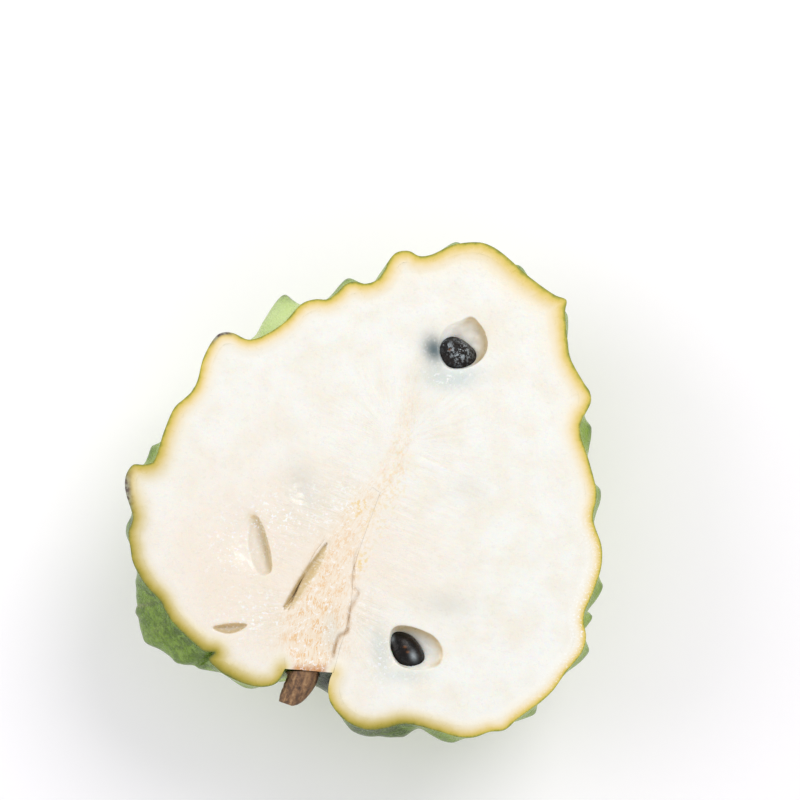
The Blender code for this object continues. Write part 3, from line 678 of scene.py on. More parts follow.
def face_relief(points):
    """How high the cut face's surface lies: soft waves, fibres, furrows and hollows."""
    places = sheet(points)
    flat = np.column_stack([places, np.zeros(len(places))])
    waves = sum(height * noise_at(flat, size, seed) for height, size, seed in FACE_WAVES)
    around, apart, fibrous = spread_frame(places)
    inner = bell(apart, INNER_ZONE)
    fibre_at = np.column_stack([around, apart * 0.14])
    fibres = FIBRE_HEIGHT * inner * noise_at(fibre_at, 1.1, 3) * fibrous
    grain = 0.03 * noise_at(flat, 2.1, 4) + 0.05 * inner * noise_at(flat, 2.6, 5)
    fissure, along = distance_to_line(places, RIGHT_FISSURE)
    half_width = np.clip(0.35 + 0.25 * noise_at(flat, 3.0, 6), 0.2, None)
    furrow = FISSURE_DEPTH * bell(fissure, half_width) * np.clip((1.02 - along) * 5.0, 0, 1)
    fibre, fibre_along = distance_to_line(places, FIBRE_LINE)
    furrow += FIBRE_FURROW * bell(fibre, 0.8) * np.clip((1.0 - fibre_along) * 3, 0, 1)
    furrow += FIBRE_FURROW * bell(distance_to_line(places, LEFT_FIBRE_LINE)[0], 0.7)
    crack, along, length = line_frame(places, LEFT_CRACK)
    inside = np.clip(along / 5.0, 0, 1) * np.clip((length - along) / 3.0, 0, 1)
    furrow += CRACK_DEPTH * bell(crack, np.where(crack > 0, 1.6, 0.35)) * inside
    return waves + fibres + grain - furrow - FACE_SUNK - patches(places, FACE_HOLLOWS)


def joined_rings(rings, first_cap, last_cap):
    """Close a chain of rings into one surface. A cap is a point, or None for no cap."""
    points, faces, starts = [], [], []
    for ring in rings:
        starts.append(len(points))
        points.extend(ring)
    for index in range(len(rings) - 1):
        n, m = len(rings[index]), len(rings[index + 1])
        a, b = starts[index], starts[index + 1]
        i = j = 0
        while i < n or j < m:
            if j == m or (i < n and (i + 1) * m <= (j + 1) * n):
                faces.append((a + i % n, a + (i + 1) % n, b + j % m))
                i += 1
            else:
                faces.append((a + i % n, b + (j + 1) % m, b + j % m))
                j += 1
    for ring_index, cap, flip in ((0, first_cap, False), (-1, last_cap, True)):
        if cap is None:
            continue
        count = len(rings[ring_index])
        loop = [starts[ring_index] + i for i in range(count)]
        points.append(cap)
        tip = len(points) - 1
        for i in range(count):
            pair = (loop[i], loop[(i + 1) % count])
            faces.append((pair[0], pair[1], tip) if flip else (pair[1], pair[0], tip))
    return np.array(points), faces, starts


def ring_parameters(segments, rim_segments, rings):
    """Shares and angles of evenly spaced rings, from the cut down to the last ring."""
    rows = []
    for index in range(rings):
        angle = math.pi / 2 * index / rings
        crowd = math.exp(-((angle / RIM_CROWDING) ** 2))
        count = max(8, round(segments * math.cos(angle) + (rim_segments - segments) * crowd))
        rows.append((np.arange(count) / count, np.full(count, angle)))
    return rows


def new_mesh(name, points, faces):
    """An object from points in millimetres below the cut, lifted onto its rest."""
    lifted = (np.asarray(points, float) + np.array([0.0, 0.0, REST_DEPTH])) * MM
    mesh = bpy.data.meshes.new(name)
    mesh.from_pydata([tuple(p) for p in lifted], [], faces)
    body = bmesh.new()
    body.from_mesh(mesh)
    if body.calc_volume(signed=True) < 0:
        bmesh.ops.reverse_faces(body, faces=body.faces[:])
    body.to_mesh(mesh)
    body.free()
    mesh.shade_smooth()
    thing = bpy.data.objects.new(name, mesh)
    bpy.context.scene.collection.objects.link(thing)
    return thing


def mesh_points(thing):
    """The object's points in millimetres, measured from the level of the cut."""
    flat = np.empty(len(thing.data.vertices) * 3)
    thing.data.vertices.foreach_get("co", flat)
    return flat.reshape(-1, 3) / MM - np.array([0.0, 0.0, REST_DEPTH])


def move_points(thing, points):
    """Put the object's points at these places below the cut."""
    lifted = (points + np.array([0.0, 0.0, REST_DEPTH])) * MM
    thing.data.vertices.foreach_set("co", lifted.ravel())
    thing.data.update()


def mark(thing, name, values):
    """Store a number at each vertex for the materials to read."""
    attribute = thing.data.attributes.new(name, "FLOAT", "POINT")
    attribute.data.foreach_set("value", np.asarray(values, float))


def mark_vector(thing, name, values):
    """Store a vector at each vertex for the materials to read."""
    attribute = thing.data.attributes.new(name, "FLOAT_VECTOR", "POINT")
    attribute.data.foreach_set("vector", np.asarray(values, float).ravel())


def cut_out(thing, cutters):
    """Take the cutters' shapes out of the object, for good."""
    for cutter in cutters:
        boolean = thing.modifiers.new(cutter.name, "BOOLEAN")
        boolean.operation = "DIFFERENCE"
        boolean.solver = "MANIFOLD"
        boolean.object = cutter
    graph = bpy.context.evaluated_depsgraph_get()
    made = bpy.data.meshes.new_from_object(thing.evaluated_get(graph))
    thing.modifiers.clear()
    old = thing.data
    thing.data = made
    bpy.data.meshes.remove(old)
    made.materials.clear()
    made.polygons.foreach_set("material_index", [0] * len(made.polygons))
    for cutter in cutters:
        bpy.data.objects.remove(cutter, do_unlink=True)


def tidy_mesh(thing):
    """Join points that nearly touch, cut faces into triangles and drop stray points."""
    body = bmesh.new()
    body.from_mesh(thing.data)
    bmesh.ops.remove_doubles(body, verts=body.verts[:], dist=JOIN_WITHIN * MM)
    bmesh.ops.dissolve_degenerate(body, edges=body.edges[:], dist=SHORTEST_EDGE * MM)
    bmesh.ops.triangulate(body, faces=[f for f in body.faces if len(f.verts) > 3])
    loose = [v for v in body.verts if not v.link_faces]
    bmesh.ops.delete(body, geom=loose, context="VERTS")
    body.to_mesh(thing.data)
    body.free()
    thing.data.validate()
    thing.data.shade_smooth()


def softened(thing, points, weight, rounds):
    """Average each point with its neighbours, as far as its weight allows."""
    count = len(thing.data.edges)
    ends = np.empty(count * 2, int)
    thing.data.edges.foreach_get("vertices", ends)
    ends = ends.reshape(-1, 2)
    degree = np.bincount(ends.ravel(), minlength=len(points)).astype(float)
    for _ in range(rounds):
        total = np.zeros_like(points)
        np.add.at(total, ends[:, 0], points[ends[:, 1]])
        np.add.at(total, ends[:, 1], points[ends[:, 0]])
        average = total / np.maximum(degree, 1)[:, None]
        points = points + (average - points) * weight[:, None]
    return points


def sections(points, samples, extra):
    """Even places along a line, their widths and their sides. Its ends reach out by extra."""
    line = even_spline(points, samples, closed=False)
    last = len(line) - 1
    for index, (u, v, half_width) in enumerate(line):
        ahead, behind = line[min(index + 1, last)], line[max(index - 1, 0)]
        heading = math.atan2(ahead[1] - behind[1], ahead[0] - behind[0])
        slide = -extra if index == 0 else extra if index == last else 0.0
        middle = np.array([u + slide * math.cos(heading), v + slide * math.sin(heading)])
        yield index, middle, half_width, np.array([math.sin(heading), -math.cos(heading)])


def edge_distance(points, outline):
    """Distance from each point to the outline, seen from above."""
    tree = kdtree.KDTree(len(outline))
    for index, (x, y) in enumerate(outline):
        tree.insert((x, y, 0.0), index)
    tree.balance()
    return np.array([tree.find((p[0], p[1], 0.0))[2] for p in points])


def core_shape(name, extra, rise, samples, sides):
    """Half a spindle with a flat top, grown outward by extra."""
    rings = []
    for _, middle, half_width, side in sections(CORE_LINE, samples, extra):
        width = half_width + extra
        ring = []
        for across in np.linspace(-width, width, sides, endpoint=False):
            ring.append((*place(*(middle + side * across)), rise))
        for arc in np.linspace(0.0, math.pi, sides // 2, endpoint=False):
            deep = (half_width * CORE_DEPTH_SHARE + extra) * math.sin(arc)
            ring.append((*place(*(middle + side * width * math.cos(arc))), -deep))
        rings.append(np.array(ring))
    points, faces, _ = joined_rings(rings, rings[0].mean(axis=0), rings[-1].mean(axis=0))
    return new_mesh(name, points, faces)


def stem_shape(name, extra, samples, sides, rough):
    """A ridged woody stub, grown outward by extra. Rough gives it bark and a worn end."""
    rings = []
    for index, middle, half_width, side in sections(STEM_LINE, samples, extra):
        ring = []
        for step in range(sides):
            turn = 2 * math.pi * step / sides
            sample = Vector((math.cos(turn) * 2.2, math.sin(turn) * 2.2, index * 0.16))
            bark = 0.22 * noise.noise(sample) + 0.12 * noise.noise(sample * 3.1)
            ridge = 1 + 0.04 * math.cos(5 * turn + index * 5.0 / samples)
            radius = half_width * ridge * 0.97 + extra + bark * rough
            u, v = middle + side * radius * math.cos(turn)
            if rough:
                v = max(v, STEM_END_V + 0.11 * max(u + 19.0, 0.0) ** 2.1)
            height = radius * math.sin(turn) - STEM_AXIS_DEPTH
            ring.append((*place(u, v), min(height, 0.0)))
        rings.append(np.array(ring))
    last_ring = rings[-1]
    tip = np.array([*place(*STEM_LINE[-1][:2]), -STEM_AXIS_DEPTH])
    back = np.array([*place(*STEM_LINE[-2][:2]), -STEM_AXIS_DEPTH]) - tip
    back /= np.linalg.norm(back)
    for shrink, sink in STEM_END_RINGS:
        rings.append(tip + (last_ring - tip) * shrink + back * sink * rough)
    points, faces, _ = joined_rings(rings, rings[0].mean(axis=0), rings[-1].mean(axis=0))
    stem = new_mesh(name, points, faces)
    turn = np.arange(len(points)) % sides * 2 * math.pi / sides
    down = np.arange(len(points)) // sides
    mark_vector(stem, "bark", np.column_stack([3.4 * np.cos(turn), 3.4 * np.sin(turn), down * 0.07]))
    return stem


def seed_shape(name, seed, extra, samples, sides):
    """A smooth seed, drawn to a blunt point at one end."""
    length, width, thickness = (half + extra for half in seed["half_sizes"])
    heading, dip = seed["heading"] + OUTLINE_LEAN, seed["dip"]
    dipped = np.array([
        [math.cos(dip), 0.0, math.sin(dip)], [0.0, 1.0, 0.0], [-math.sin(dip), 0.0, math.cos(dip)],
    ])
    turned = np.array([
        [math.cos(heading), -math.sin(heading), 0.0],
        [math.sin(heading), math.cos(heading), 0.0], [0.0, 0.0, 1.0],
    ])
    middle = np.array([*place(*seed["middle"]), -seed["depth"]])
    rings = []
    for index in range(1, samples):
        turn = math.pi * index / samples
        along = -math.cos(turn)
        sharpness = SEED_SHARPNESS + seed["first_end"] * (1 - along) / 2
        girth = math.sin(turn) ** sharpness * (1 - SEED_POINT_SHARE * (along + 1) / 2)
        roll = 2 * math.pi * np.arange(sides) / sides
        ring = np.column_stack([
            np.full(sides, length * along), width * girth * np.cos(roll), thickness * girth * np.sin(roll),
        ])
        rings.append(ring @ dipped.T @ turned.T + middle)
    ends = np.array([(-length, 0.0, 0.0), (length, 0.0, 0.0)]) @ dipped.T @ turned.T + middle
    points, faces, _ = joined_rings(rings, ends[0], ends[1])
    return new_mesh(name, points, faces)


def hollow_shape(name, hollow):
    """A bowl reaching a little above the cut face. Its gentle side slopes in slowly."""
    rings_down, segments = hollow["mesh"]
    edge = even_spline([place(u, v) for u, v in hollow["edge"]], segments)
    deepest = np.array(place(*hollow["deepest"]))
    rings = [np.column_stack([edge, np.full(len(edge), CUTTER_RISE)])]
    power = np.ones(len(edge))
    if "gentle" in hollow:
        gentle = np.array(place(*hollow["gentle"])) - np.array(place(0.0, 0.0))
        outward = (edge - deepest) / np.linalg.norm(edge - deepest, axis=1)[:, None]
        power += GENTLE_POWER * np.clip(outward @ gentle / np.linalg.norm(gentle), 0, 1)
    for index in range(rings_down):
        turn = math.pi / 2 * index / rings_down
        flat = deepest + (edge - deepest) * math.cos(turn)
        rings.append(np.column_stack([flat, -hollow["depth"] * math.sin(turn) ** power]))
    lid = np.array([*edge.mean(axis=0), CUTTER_RISE])
    points, faces, _ = joined_rings(rings, lid, np.array([*deepest, -hollow["depth"]]))
    return new_mesh(name, points, faces)


def core_and_stem_rooms():
    """Cutters for the room that the core and the stem need."""
    core_room = core_shape("core_room", GAP, CUTTER_RISE, *CORE_ROOM_MESH)
    return [core_room, stem_shape("stem_room", GAP, *STEM_ROOM_MESH, 0.0)]


def make_skin():
    """The bumpy green skin, with its cut edge."""
    outlines = outline_set(0.0)
    field = tubercle_field(outlines)
    rows = ring_parameters(SKIN_SEGMENTS, RIM_SEGMENTS, SKIN_RINGS)
    smooth_rings = [back_surface(outlines, HALF_DEPTH, *row) for row in rows]
    pole = back_surface(outlines, HALF_DEPTH, [0.0], [math.pi / 2])
    everything = np.vstack(smooth_rings + [pole])
    lifted, rise, tip = raised(everything, field, outlines)
    centres = np.array([entry[4] for entry in field])
    apart = np.linalg.norm(everything[:, None, :] - centres[None, :, :], axis=2)
    nearest = np.partition(apart, 1, axis=1)[:, :2]
    border = nearest[:, 1] - nearest[:, 0]
    below = np.clip(-everything[:, 2] / 6.0, 0, 1)
    broad = noise_at(everything, 11.0, 14)
    wavy = np.clip(border + 1.3 * noise_at(everything, 4.5, 13), 0, None)
    groove = bell(wavy, GROOVE_WIDTH) * np.clip(0.62 + 0.9 * broad, 0.15, 1) * below
    scar = bell(border, SCAR_WIDTH) * np.clip(6.0 * (broad - 0.16), 0, 1) * below
    out = everything - np.array([*place(*DEEPEST_POINT), 0.0])
    out /= np.linalg.norm(out, axis=1)[:, None]
    dents = -GROOVE_DEPTH * groove - SCAR_DEPTH * scar - SKIN_SUNK * below
    for height, size, seed in SKIN_DENTS:
        dents += height * noise_at(everything, size, seed) * below
    lifted += out * dents[:, None]
    lifted[:, 2] = np.clip(lifted[:, 2], -REST_DEPTH, 0.0)
    cuts = np.cumsum([len(ring) for ring in smooth_rings])
    outside = np.split(lifted[:-1], cuts[:-1])
    inner_outlines = outline_set(SKIN_THICKNESS)
    shares = np.arange(RIM_SEGMENTS) / RIM_SEGMENTS
    inner_edge = np.column_stack([sampled(inner_outlines[0], shares), np.zeros(RIM_SEGMENTS)])
    steps = [step / BAND_RINGS for step in range(1, BAND_RINGS + 1)]
    band = [outside[0] * (1 - part) + inner_edge * part for part in steps]
    depth = HALF_DEPTH - SKIN_THICKNESS
    inner_rows = ring_parameters(INNER_SEGMENTS, RIM_SEGMENTS, INNER_RINGS)[1:]
    inside = [back_surface(inner_outlines, depth, *row) for row in inner_rows]
    inner_tip = back_surface(inner_outlines, depth, [0.0], [math.pi / 2])[0]
    points, faces, _ = joined_rings(outside[::-1] + band + inside, lifted[-1], inner_tip)
    skin = new_mesh("skin_fine", points, faces)
    order = np.concatenate(np.split(np.arange(cuts[-1]), cuts[:-1])[::-1])
    for name, values in (("rise", rise), ("tip", tip), ("groove", groove), ("scar", scar)):
        full = np.zeros(len(points))
        full[:len(order)] = values[order]
        mark(skin, name, full)
    cut_out(skin, core_and_stem_rooms())
    return skin


def main_face_points(border):
    """Even points inside the border, on a grid of equal triangles."""
    low, high = border.min(axis=0), border.max(axis=0)
    rows = []
    height = FACE_SPACING * math.sqrt(3) / 2
    for index, y in enumerate(np.arange(low[1], high[1], height)):
        x = np.arange(low[0], high[0], FACE_SPACING) + (index % 2) * FACE_SPACING / 2
        rows.append(np.column_stack([x, np.full(len(x), y)]))
    grid = np.vstack(rows)
    crossings = np.zeros(len(grid), int)
    ends = np.roll(border, -1, axis=0)
    for (x1, y1), (x2, y2) in zip(border, ends):
        spans = (grid[:, 1] < y1) != (grid[:, 1] < y2)
        if y1 != y2:
            reach = x1 + (grid[:, 1] - y1) * (x2 - x1) / (y2 - y1)
            crossings += spans & (grid[:, 0] < reach)
    inside = grid[crossings % 2 == 1]
    near = edge_distance(np.column_stack([inside, np.zeros(len(inside))]), border)
    return inside[near > FACE_SPACING * 0.6]


def make_flesh():
    """The white body, with its pockets and cracks."""
    border_curves = outline_set(SKIN_THICKNESS)
    shares = np.arange(RIM_SEGMENTS) / RIM_SEGMENTS
    border = sampled(border_curves[0], shares)
    inset = SKIN_THICKNESS + GAP
    curves = outline_set(inset)
    depth = HALF_DEPTH - inset
    rows = ring_parameters(INNER_SEGMENTS, RIM_SEGMENTS, INNER_RINGS)[1:]
    rings = [back_surface(curves, depth, *row) for row in rows]
    tip = back_surface(curves, depth, [0.0], [math.pi / 2])[0]
    chain = rings[::-1] + [np.column_stack([border, np.zeros(RIM_SEGMENTS)])]
    points, faces, starts = joined_rings(chain, tip, None)
    interior = main_face_points(border)
    corners = [Vector(p) for p in np.vstack([border, interior])]
    edges = [(i, (i + 1) % RIM_SEGMENTS) for i in range(RIM_SEGMENTS)]
    filled = geometry.delaunay_2d_cdt(corners, edges, [], 1, 1e-5)
    numbers = list(range(starts[-1], starts[-1] + RIM_SEGMENTS))
    numbers += range(len(points), len(points) + len(interior))
    points = np.vstack([points, np.column_stack([interior, np.zeros(len(interior))])])
    faces += [tuple(numbers[i] for i in face) for face in filled[2]]
    body = bmesh.new()
    for point in points:
        body.verts.new(point)
    body.verts.ensure_lookup_table()
    for face in faces:
        body.faces.new([body.verts[i] for i in face])
    bmesh.ops.recalc_face_normals(body, faces=body.faces[:])
    points = np.array([v.co[:] for v in body.verts])
    faces = [tuple(v.index for v in f.verts) for f in body.faces]
    body.free()
    flesh = new_mesh("flesh_fine", points, faces)
    cutters = core_and_stem_rooms()
    for name, seed in (("upper_seed_room", UPPER_SEED), ("lower_seed_room", LOWER_SEED)):
        cutters.append(seed_shape(name, seed, SEED_GAP, *SEED_ROOM_MESH))
    cutters += [hollow_shape(name, hollow) for name, hollow in HOLLOWS.items()]
    cut_out(flesh, cutters)
    return flesh


def peel_line():
    """The part of the outline where skin is cut: all of it but the stem's seat."""
    drawn = even_spline([place(u, v) for u, v in OUTLINE], OUTLINE_SAMPLES)
    places = sheet(drawn)
    seat = np.all((places > SEAT_LOW) & (places < SEAT_HIGH), axis=1)
    return drawn[~seat]


def with_relief(thing, points, places, edge):
    """The points with softened lips, the face's relief and uneven walls in the hollows."""
    lips = np.zeros(len(points))
    for hollow in HOLLOWS.values():
        near = np.clip(LIP_WIDTH - distance_to_edge(places, hollow), 0, 1)
        lips = np.maximum(lips, near * (points[:, 2] > -LIP_DEPTH))
    points = softened(thing, points, LIP_SOFTENING * lips, LIP_ROUNDS)
    shore = np.clip((edge - SKIN_THICKNESS) / 1.8, 0, 1)
    deep = np.clip(1 + points[:, 2] / 1.2, 0, 1)
    points[:, 2] += face_relief(points) * shore * deep
    walls = (points[:, 2] < -0.8) & (edge > 6.0) & (points[:, 2] > -12.0)
    points[:, 2] += walls * 0.2 * noise_at(points, 1.8, 21)
    points[:, 2] = np.minimum(points[:, 2], 0.0)
    return points


def mark_fibres(thing, places, points):
    """Store where the core's colour lies, and the frames that its fibres run in."""
    around, apart, fibrous = spread_frame(places)
    mark_vector(thing, "sheet", np.column_stack([places, points[:, 2]]))
    mark_vector(thing, "fibre", np.column_stack([around, apart * 0.16]))
    mark(thing, "spread", fibrous * bell(apart, SPREAD_REACH))
    across, along, length = line_frame(places, FIBRE_AXIS)
    steps = np.linspace(0.0, length, len(FIBRE_AXIS))
    reach = np.interp(along, steps, FIBRE_WIDTHS)
    tint = np.interp(along, steps, FIBRE_TINT)
    below = np.clip(CORE_FOOT_V - places[:, 1], 0, 1)
    mark(thing, "peach", np.clip(bell(np.abs(across), reach, 3) * tint * (1 - below), 0, 1))
    mark_vector(thing, "grain", np.column_stack([across, along * 0.2, points[:, 2]]))
    foot = np.clip(1 - (places[:, 1] - CORE_FOOT_V) / 1.9, 0, 1)
    foot *= (np.abs(places[:, 0] + 14.0) < 6.2) * (places[:, 1] > -43.2)
    mark(thing, "foot", foot)


def mark_cracks(thing, places, points, edge):
    """Store where the furrows and the crack take their colours, the tan and painted shadow under the
    hollows' lips, and the painted light on the hollows' deeper walls.
    """
    flat = np.column_stack([places, np.zeros(len(places))])
    fissure, share = distance_to_line(places, RIGHT_FISSURE)
    broken = np.clip(0.75 + 1.2 * noise_at(flat, 2.4, 31), 0.15, 1)
    mark(thing, "line", np.clip(bell(fissure, 0.5) * np.clip(1.15 - share, 0, 1) * broken, 0, 1))
    sunk = np.clip((-points[:, 2] - 0.35) / 0.4, 0, 1) * (edge > 5.0)
    # Tan near the sharp lips, partly the cut's own colour and partly painted shadow under them.
    lip = np.zeros(len(points))
    for line, depth_of_tan in LIPS:
        lip = np.maximum(lip, bell(distance_to_line(places, line)[0], depth_of_tan, 1.5))
    for name in ("slit", "core_crack"):
        lip = np.maximum(lip, bell(distance_to_edge(places, HOLLOWS[name]), 1.5))
    mark(thing, "lip", lip * sunk)
    crack, along, length = line_frame(places, LEFT_CRACK)
    within = (along > 0.05) & (along < length - 0.05)
    taper = np.clip(np.sin(np.pi * np.clip(along / length, 0.0, 1.0)), 0.1, 1)
    mark(thing, "crack", bell(crack, 0.32) * within)
    tan_side = np.clip(1 - np.abs(crack - 1.1 * taper) / (1.15 * taper), 0, 1) ** 0.6
    mark(thing, "crack_wall", tan_side * within)
    # Painted light: the hollows' walls are whitened more the deeper they lie.
    mark(thing, "wall_painted_light", np.clip((-points[:, 2] - 0.5) / 3.0, 0, 1) * (edge > 6.0))


def finish_face(thing, outline, relief):
    """Sink the relief into the cut face and store what its colours depend on."""
    points = mesh_points(thing)
    places = sheet(points)
    edge = edge_distance(points, outline)
    if relief:
        points = with_relief(thing, points, places, edge)
        move_points(thing, points)
    mark_fibres(thing, places, points)
    away, _, _ = line_frame(places, [(u, v) for u, v, _ in CORE_LINE])
    beside_core = np.clip((np.abs(away) - core_half_width(places) - 1.5) / 3.0, 0, 1)
    mark(thing, "soft", np.clip((edge - 3.4) / 4.0, 0, 1) * beside_core)
    seat = bell(np.abs(places[:, 0] + 14.2), 5.2, 4) * patches(places, STEM_SEAT_PATCH)
    edge = edge + 5.0 * seat
    mark(thing, "edge", edge)
    mark(thing, "band", 1.0 + patches(places, RIM_WIDTHS))
    for name, rows in FACE_PATCHES.items():
        mark(thing, name, np.clip(patches(places, rows), 0, 1))
    mark_cracks(thing, places, points, edge)
    brown = np.zeros(len(points))
    for row, reach, fade in RIM_BROWNS:
        brown += patches(places, [row]) * np.clip((reach - edge) / fade, 0, 1)
    mark(thing, "brown", np.clip(brown * 1.4, 0, 1))


def colour(code):
    """A hex colour as the linear values that a shader takes."""
    parts = [int(code[i:i + 2], 16) / 255 for i in (1, 3, 5)]
    return tuple((c / 12.92 if c <= 0.04045 else ((c + 0.055) / 1.055) ** 2.4) for c in parts) + (1.0,)


class Shader:
    """Short names for building a material's nodes. A string names a stored number."""

    def __init__(self, name):
        self.material = bpy.data.materials.new(name)
        self.material.use_nodes = True
        self.tree = self.material.node_tree
        self.surface = self.tree.nodes["Principled BSDF"]

    def link(self, value, target):
        """Feed a socket from another socket, a stored number or a plain value."""
        if isinstance(value, str):
            value = self.attribute(value)
        if hasattr(value, "is_output"):
            self.tree.links.new(value, target)
        else:
            target.default_value = value

    def made(self, kind, inputs):
        """A new node with its inputs fed."""
        node = self.tree.nodes.new(kind)
        for socket, value in inputs.items():
            self.link(value, node.inputs[socket])
        return node

    def attribute(self, name, vector=False):
        node = self.tree.nodes.new("ShaderNodeAttribute")
        node.attribute_name = name
        return node.outputs["Vector" if vector else "Fac"]

    def noise(self, vector, scale, detail=3.0, roughness=0.55, distortion=0.0):
        """Clouds between 0 and 1. The scale is how many fit in a unit of the vector."""
        return self.made("ShaderNodeTexNoise", {
            "Vector": vector, "Scale": scale, "Detail": detail, "Roughness": roughness,
            "Distortion": distortion,
        }).outputs["Fac"]

    def cells(self, vector, scale):
        return self.made("ShaderNodeTexVoronoi", {"Vector": vector, "Scale": scale}).outputs["Distance"]

    def math(self, operation, a, b=0.0, clamp=False):
        node = self.made("ShaderNodeMath", {0: a, 1: b})
        node.operation = operation
        node.use_clamp = clamp
        return node.outputs[0]

    def times(self, first, *others):
        """The product of some values."""
        for other in others:
            first = self.math("MULTIPLY", first, other)
        return first

    def span(self, value, low, high, to_low=0.0, to_high=1.0):
        """A smooth step from to_low to to_high as the value runs from low to high."""
        node = self.made("ShaderNodeMapRange", {
            "Value": value, "From Min": low, "From Max": high, "To Min": to_low, "To Max": to_high,
        })
        node.interpolation_type = "SMOOTHSTEP"
        return node.outputs["Result"]

    def ramp(self, value, stops):
        node = self.made("ShaderNodeValToRGB", {"Fac": value})
        elements = node.color_ramp.elements
        while len(elements) < len(stops):
            elements.new(0.5)
        for element, (place_on, code) in zip(elements, stops):
            element.position = place_on
            element.color = colour(code)
        return node.outputs["Color"]

    def mix(self, share, a, b, mode="MIX"):
        node = self.made("ShaderNodeMix", {})
        node.data_type = "RGBA"
        node.blend_type = mode
        self.link(share, node.inputs["Factor"])
        for name, value in (("A", a), ("B", b)):
            self.link(value, [i for i in node.inputs if i.name == name and i.type == "RGBA"][0])
        return [o for o in node.outputs if o.type == "RGBA"][0]

    def tinted(self, base, code, *shares):
        """The base with a colour over it, as far as the product of the shares says."""
        return self.mix(self.times(*shares), base, colour(code))

    def bump(self, height, distance, strength):
        node = self.made("ShaderNodeBump", {"Height": height, "Distance": distance, "Strength": strength})
        return node.outputs["Normal"]

    def finished(self, base, roughness, normal, others):
        """The material, with its surface's sockets fed."""
        sockets = {"Base Color": base, "Roughness": roughness, "Normal": normal, **others}
        for name, value in sockets.items():
            self.link(value, self.surface.inputs[name])
        return self.material


def fibrous_core(s, base, sheet_at):
    """The peach colour of the core over the base, with orange strands and a brown foot."""
    grain_at = s.attribute("grain", vector=True)
    strands = []
    for scale, width, strength in ((1.5, 0.05, 1.0), (0.7, 0.03, 0.8)):
        ridge = s.math("ABSOLUTE", s.math("SUBTRACT", s.noise(grain_at, scale, 3.0, 0.6), 0.5))
        strands.append(s.span(ridge, 0.0, width, strength, 0.0))
    base = s.tinted(base, "#F8E8D0", "peach", 0.95)
    uneven = s.span(s.noise(sheet_at, 0.45), 0.38, 0.6, 0.25, 1.0)
    base = s.tinted(base, "#EDB463", s.math("MAXIMUM", *strands), "peach", uneven, 0.95)
    golden = s.span(s.noise(sheet_at, 1.0, 4.0, 0.65), 0.5, 0.62)
    base = s.tinted(base, "#F2CE74", golden, "gold", 0.75)
    foot = s.span(s.noise(sheet_at, 1.2, 4.0, 0.7), 0.3, 0.6, 0.6, 1.0)
    return s.tinted(base, "#C27C30", "foot", foot)


def coloured_rim(s, base, sheet_at):
    """The yellow and green edge over the base, with painted white glints of wet beads, and dark spots."""
    edge = s.math("DIVIDE", "edge", "band")
    uneven = s.math("SUBTRACT", s.noise(sheet_at, 0.5), 0.5)
    edge = s.math("ADD", edge, s.times(uneven, 0.7))
    share = s.math("DIVIDE", edge, RIM_REACH, clamp=True)
    rim = s.mix("olive", s.ramp(share, YELLOW_RIM), s.ramp(share, GREEN_RIM))
    base = s.mix(s.span(edge, 2.2, 6.0, 1.0, 0.0), base, rim)
    # Painted highlights: near-white glints of wet beads near the rim.
    beads = s.span(s.noise(sheet_at, 1.7, 3.0, 0.6), 0.54, 0.62)
    where = s.times(s.span(edge, 0.4, 1.0), s.span(edge, 3.0, 7.0, 0.8, 0.0))
    base = s.tinted(base, "#FFFEFA", beads, "beads", where)
    mottle = s.span(s.noise(sheet_at, 0.8), 0.4, 0.6)
    return s.mix("brown", base, s.mix(mottle, colour("#5B4B4A"), colour("#9C9A86")))


def face_material(name, soft):
    """Moist flesh with a green and yellow edge and painted white glints; peach and fibrous at the core."""
    s = Shader(name)
    sheet_at = s.attribute("sheet", vector=True)
    fibre_at = s.attribute("fibre", vector=True)
    clouds = s.span(s.noise(sheet_at, 0.11), 0.35, 0.7)
    base = s.mix(clouds, colour("#F8F7F0"), colour("#F5F0E3"))
    base = s.tinted(base, "#F7E9D8", "warm", 0.75)
    streaks = s.span(s.noise(fibre_at, 0.8, 4.0, 0.6), 0.5, 0.72)
    base = s.tinted(base, "#F3E8D4", streaks, "spread", 0.6)
    smears = s.span(s.noise(fibre_at, 1.2, 4.0, 0.65, 1.2), 0.42, 0.6)
    base = s.tinted(base, "#E6DDC4", smears, "spread", "moist_smears_and_glints", 0.8)
    # Greyer flesh: painted shade in a small hollow, and seeds showing through.
    base = s.tinted(base, "#D3D0C2", "grey_seed_and_shade", 0.8)
    base = fibrous_core(s, base, sheet_at)
    for where, strength, code in FACE_TINTS:
        base = s.tinted(base, code, where, strength)
    # Painted highlights: white glints in spots and dashes where the flesh is wet.
    wet = s.math("MAXIMUM", s.math("MAXIMUM", "blue", "stain"), s.times("peach", 0.8))
    wet = s.math("MAXIMUM", wet, "moist_smears_and_glints")
    glint_spots = s.span(s.noise(sheet_at, 1.3, 3.0, 0.6), 0.57, 0.65)
    glint_dashes = s.times(s.span(s.noise(fibre_at, 1.9, 3.0, 0.6, 0.8), 0.58, 0.65), "spread")
    glints = s.times(s.math("MAXIMUM", glint_spots, glint_dashes), s.math("SUBTRACT", 1.0, "stain"))
    base = s.tinted(base, "#FFFFFF", glints, wet, 0.9)
    base = coloured_rim(s, base, sheet_at)
    base = s.mix(1.0, base, FACE_DIMMING, "MULTIPLY")
    rough = s.span(s.noise(sheet_at, 0.7), 0.3, 0.7, 0.24, 0.5)
    fine_fibres = s.times(s.noise(fibre_at, 1.7, 4.0, 0.6, 0.6), "spread")
    grain = s.math("ADD", s.times(s.noise(sheet_at, 0.9), 0.6), s.times(fine_fibres, 0.9))
    return s.finished(base, rough, s.bump(grain, 0.0002, 0.8), {
        "Coat Weight": 0.35, "Coat Roughness": 0.12, "Subsurface Weight": s.times("soft", soft),
        "Subsurface Radius": (1.0, 0.7, 0.45), "Subsurface Scale": 0.0022,
    })


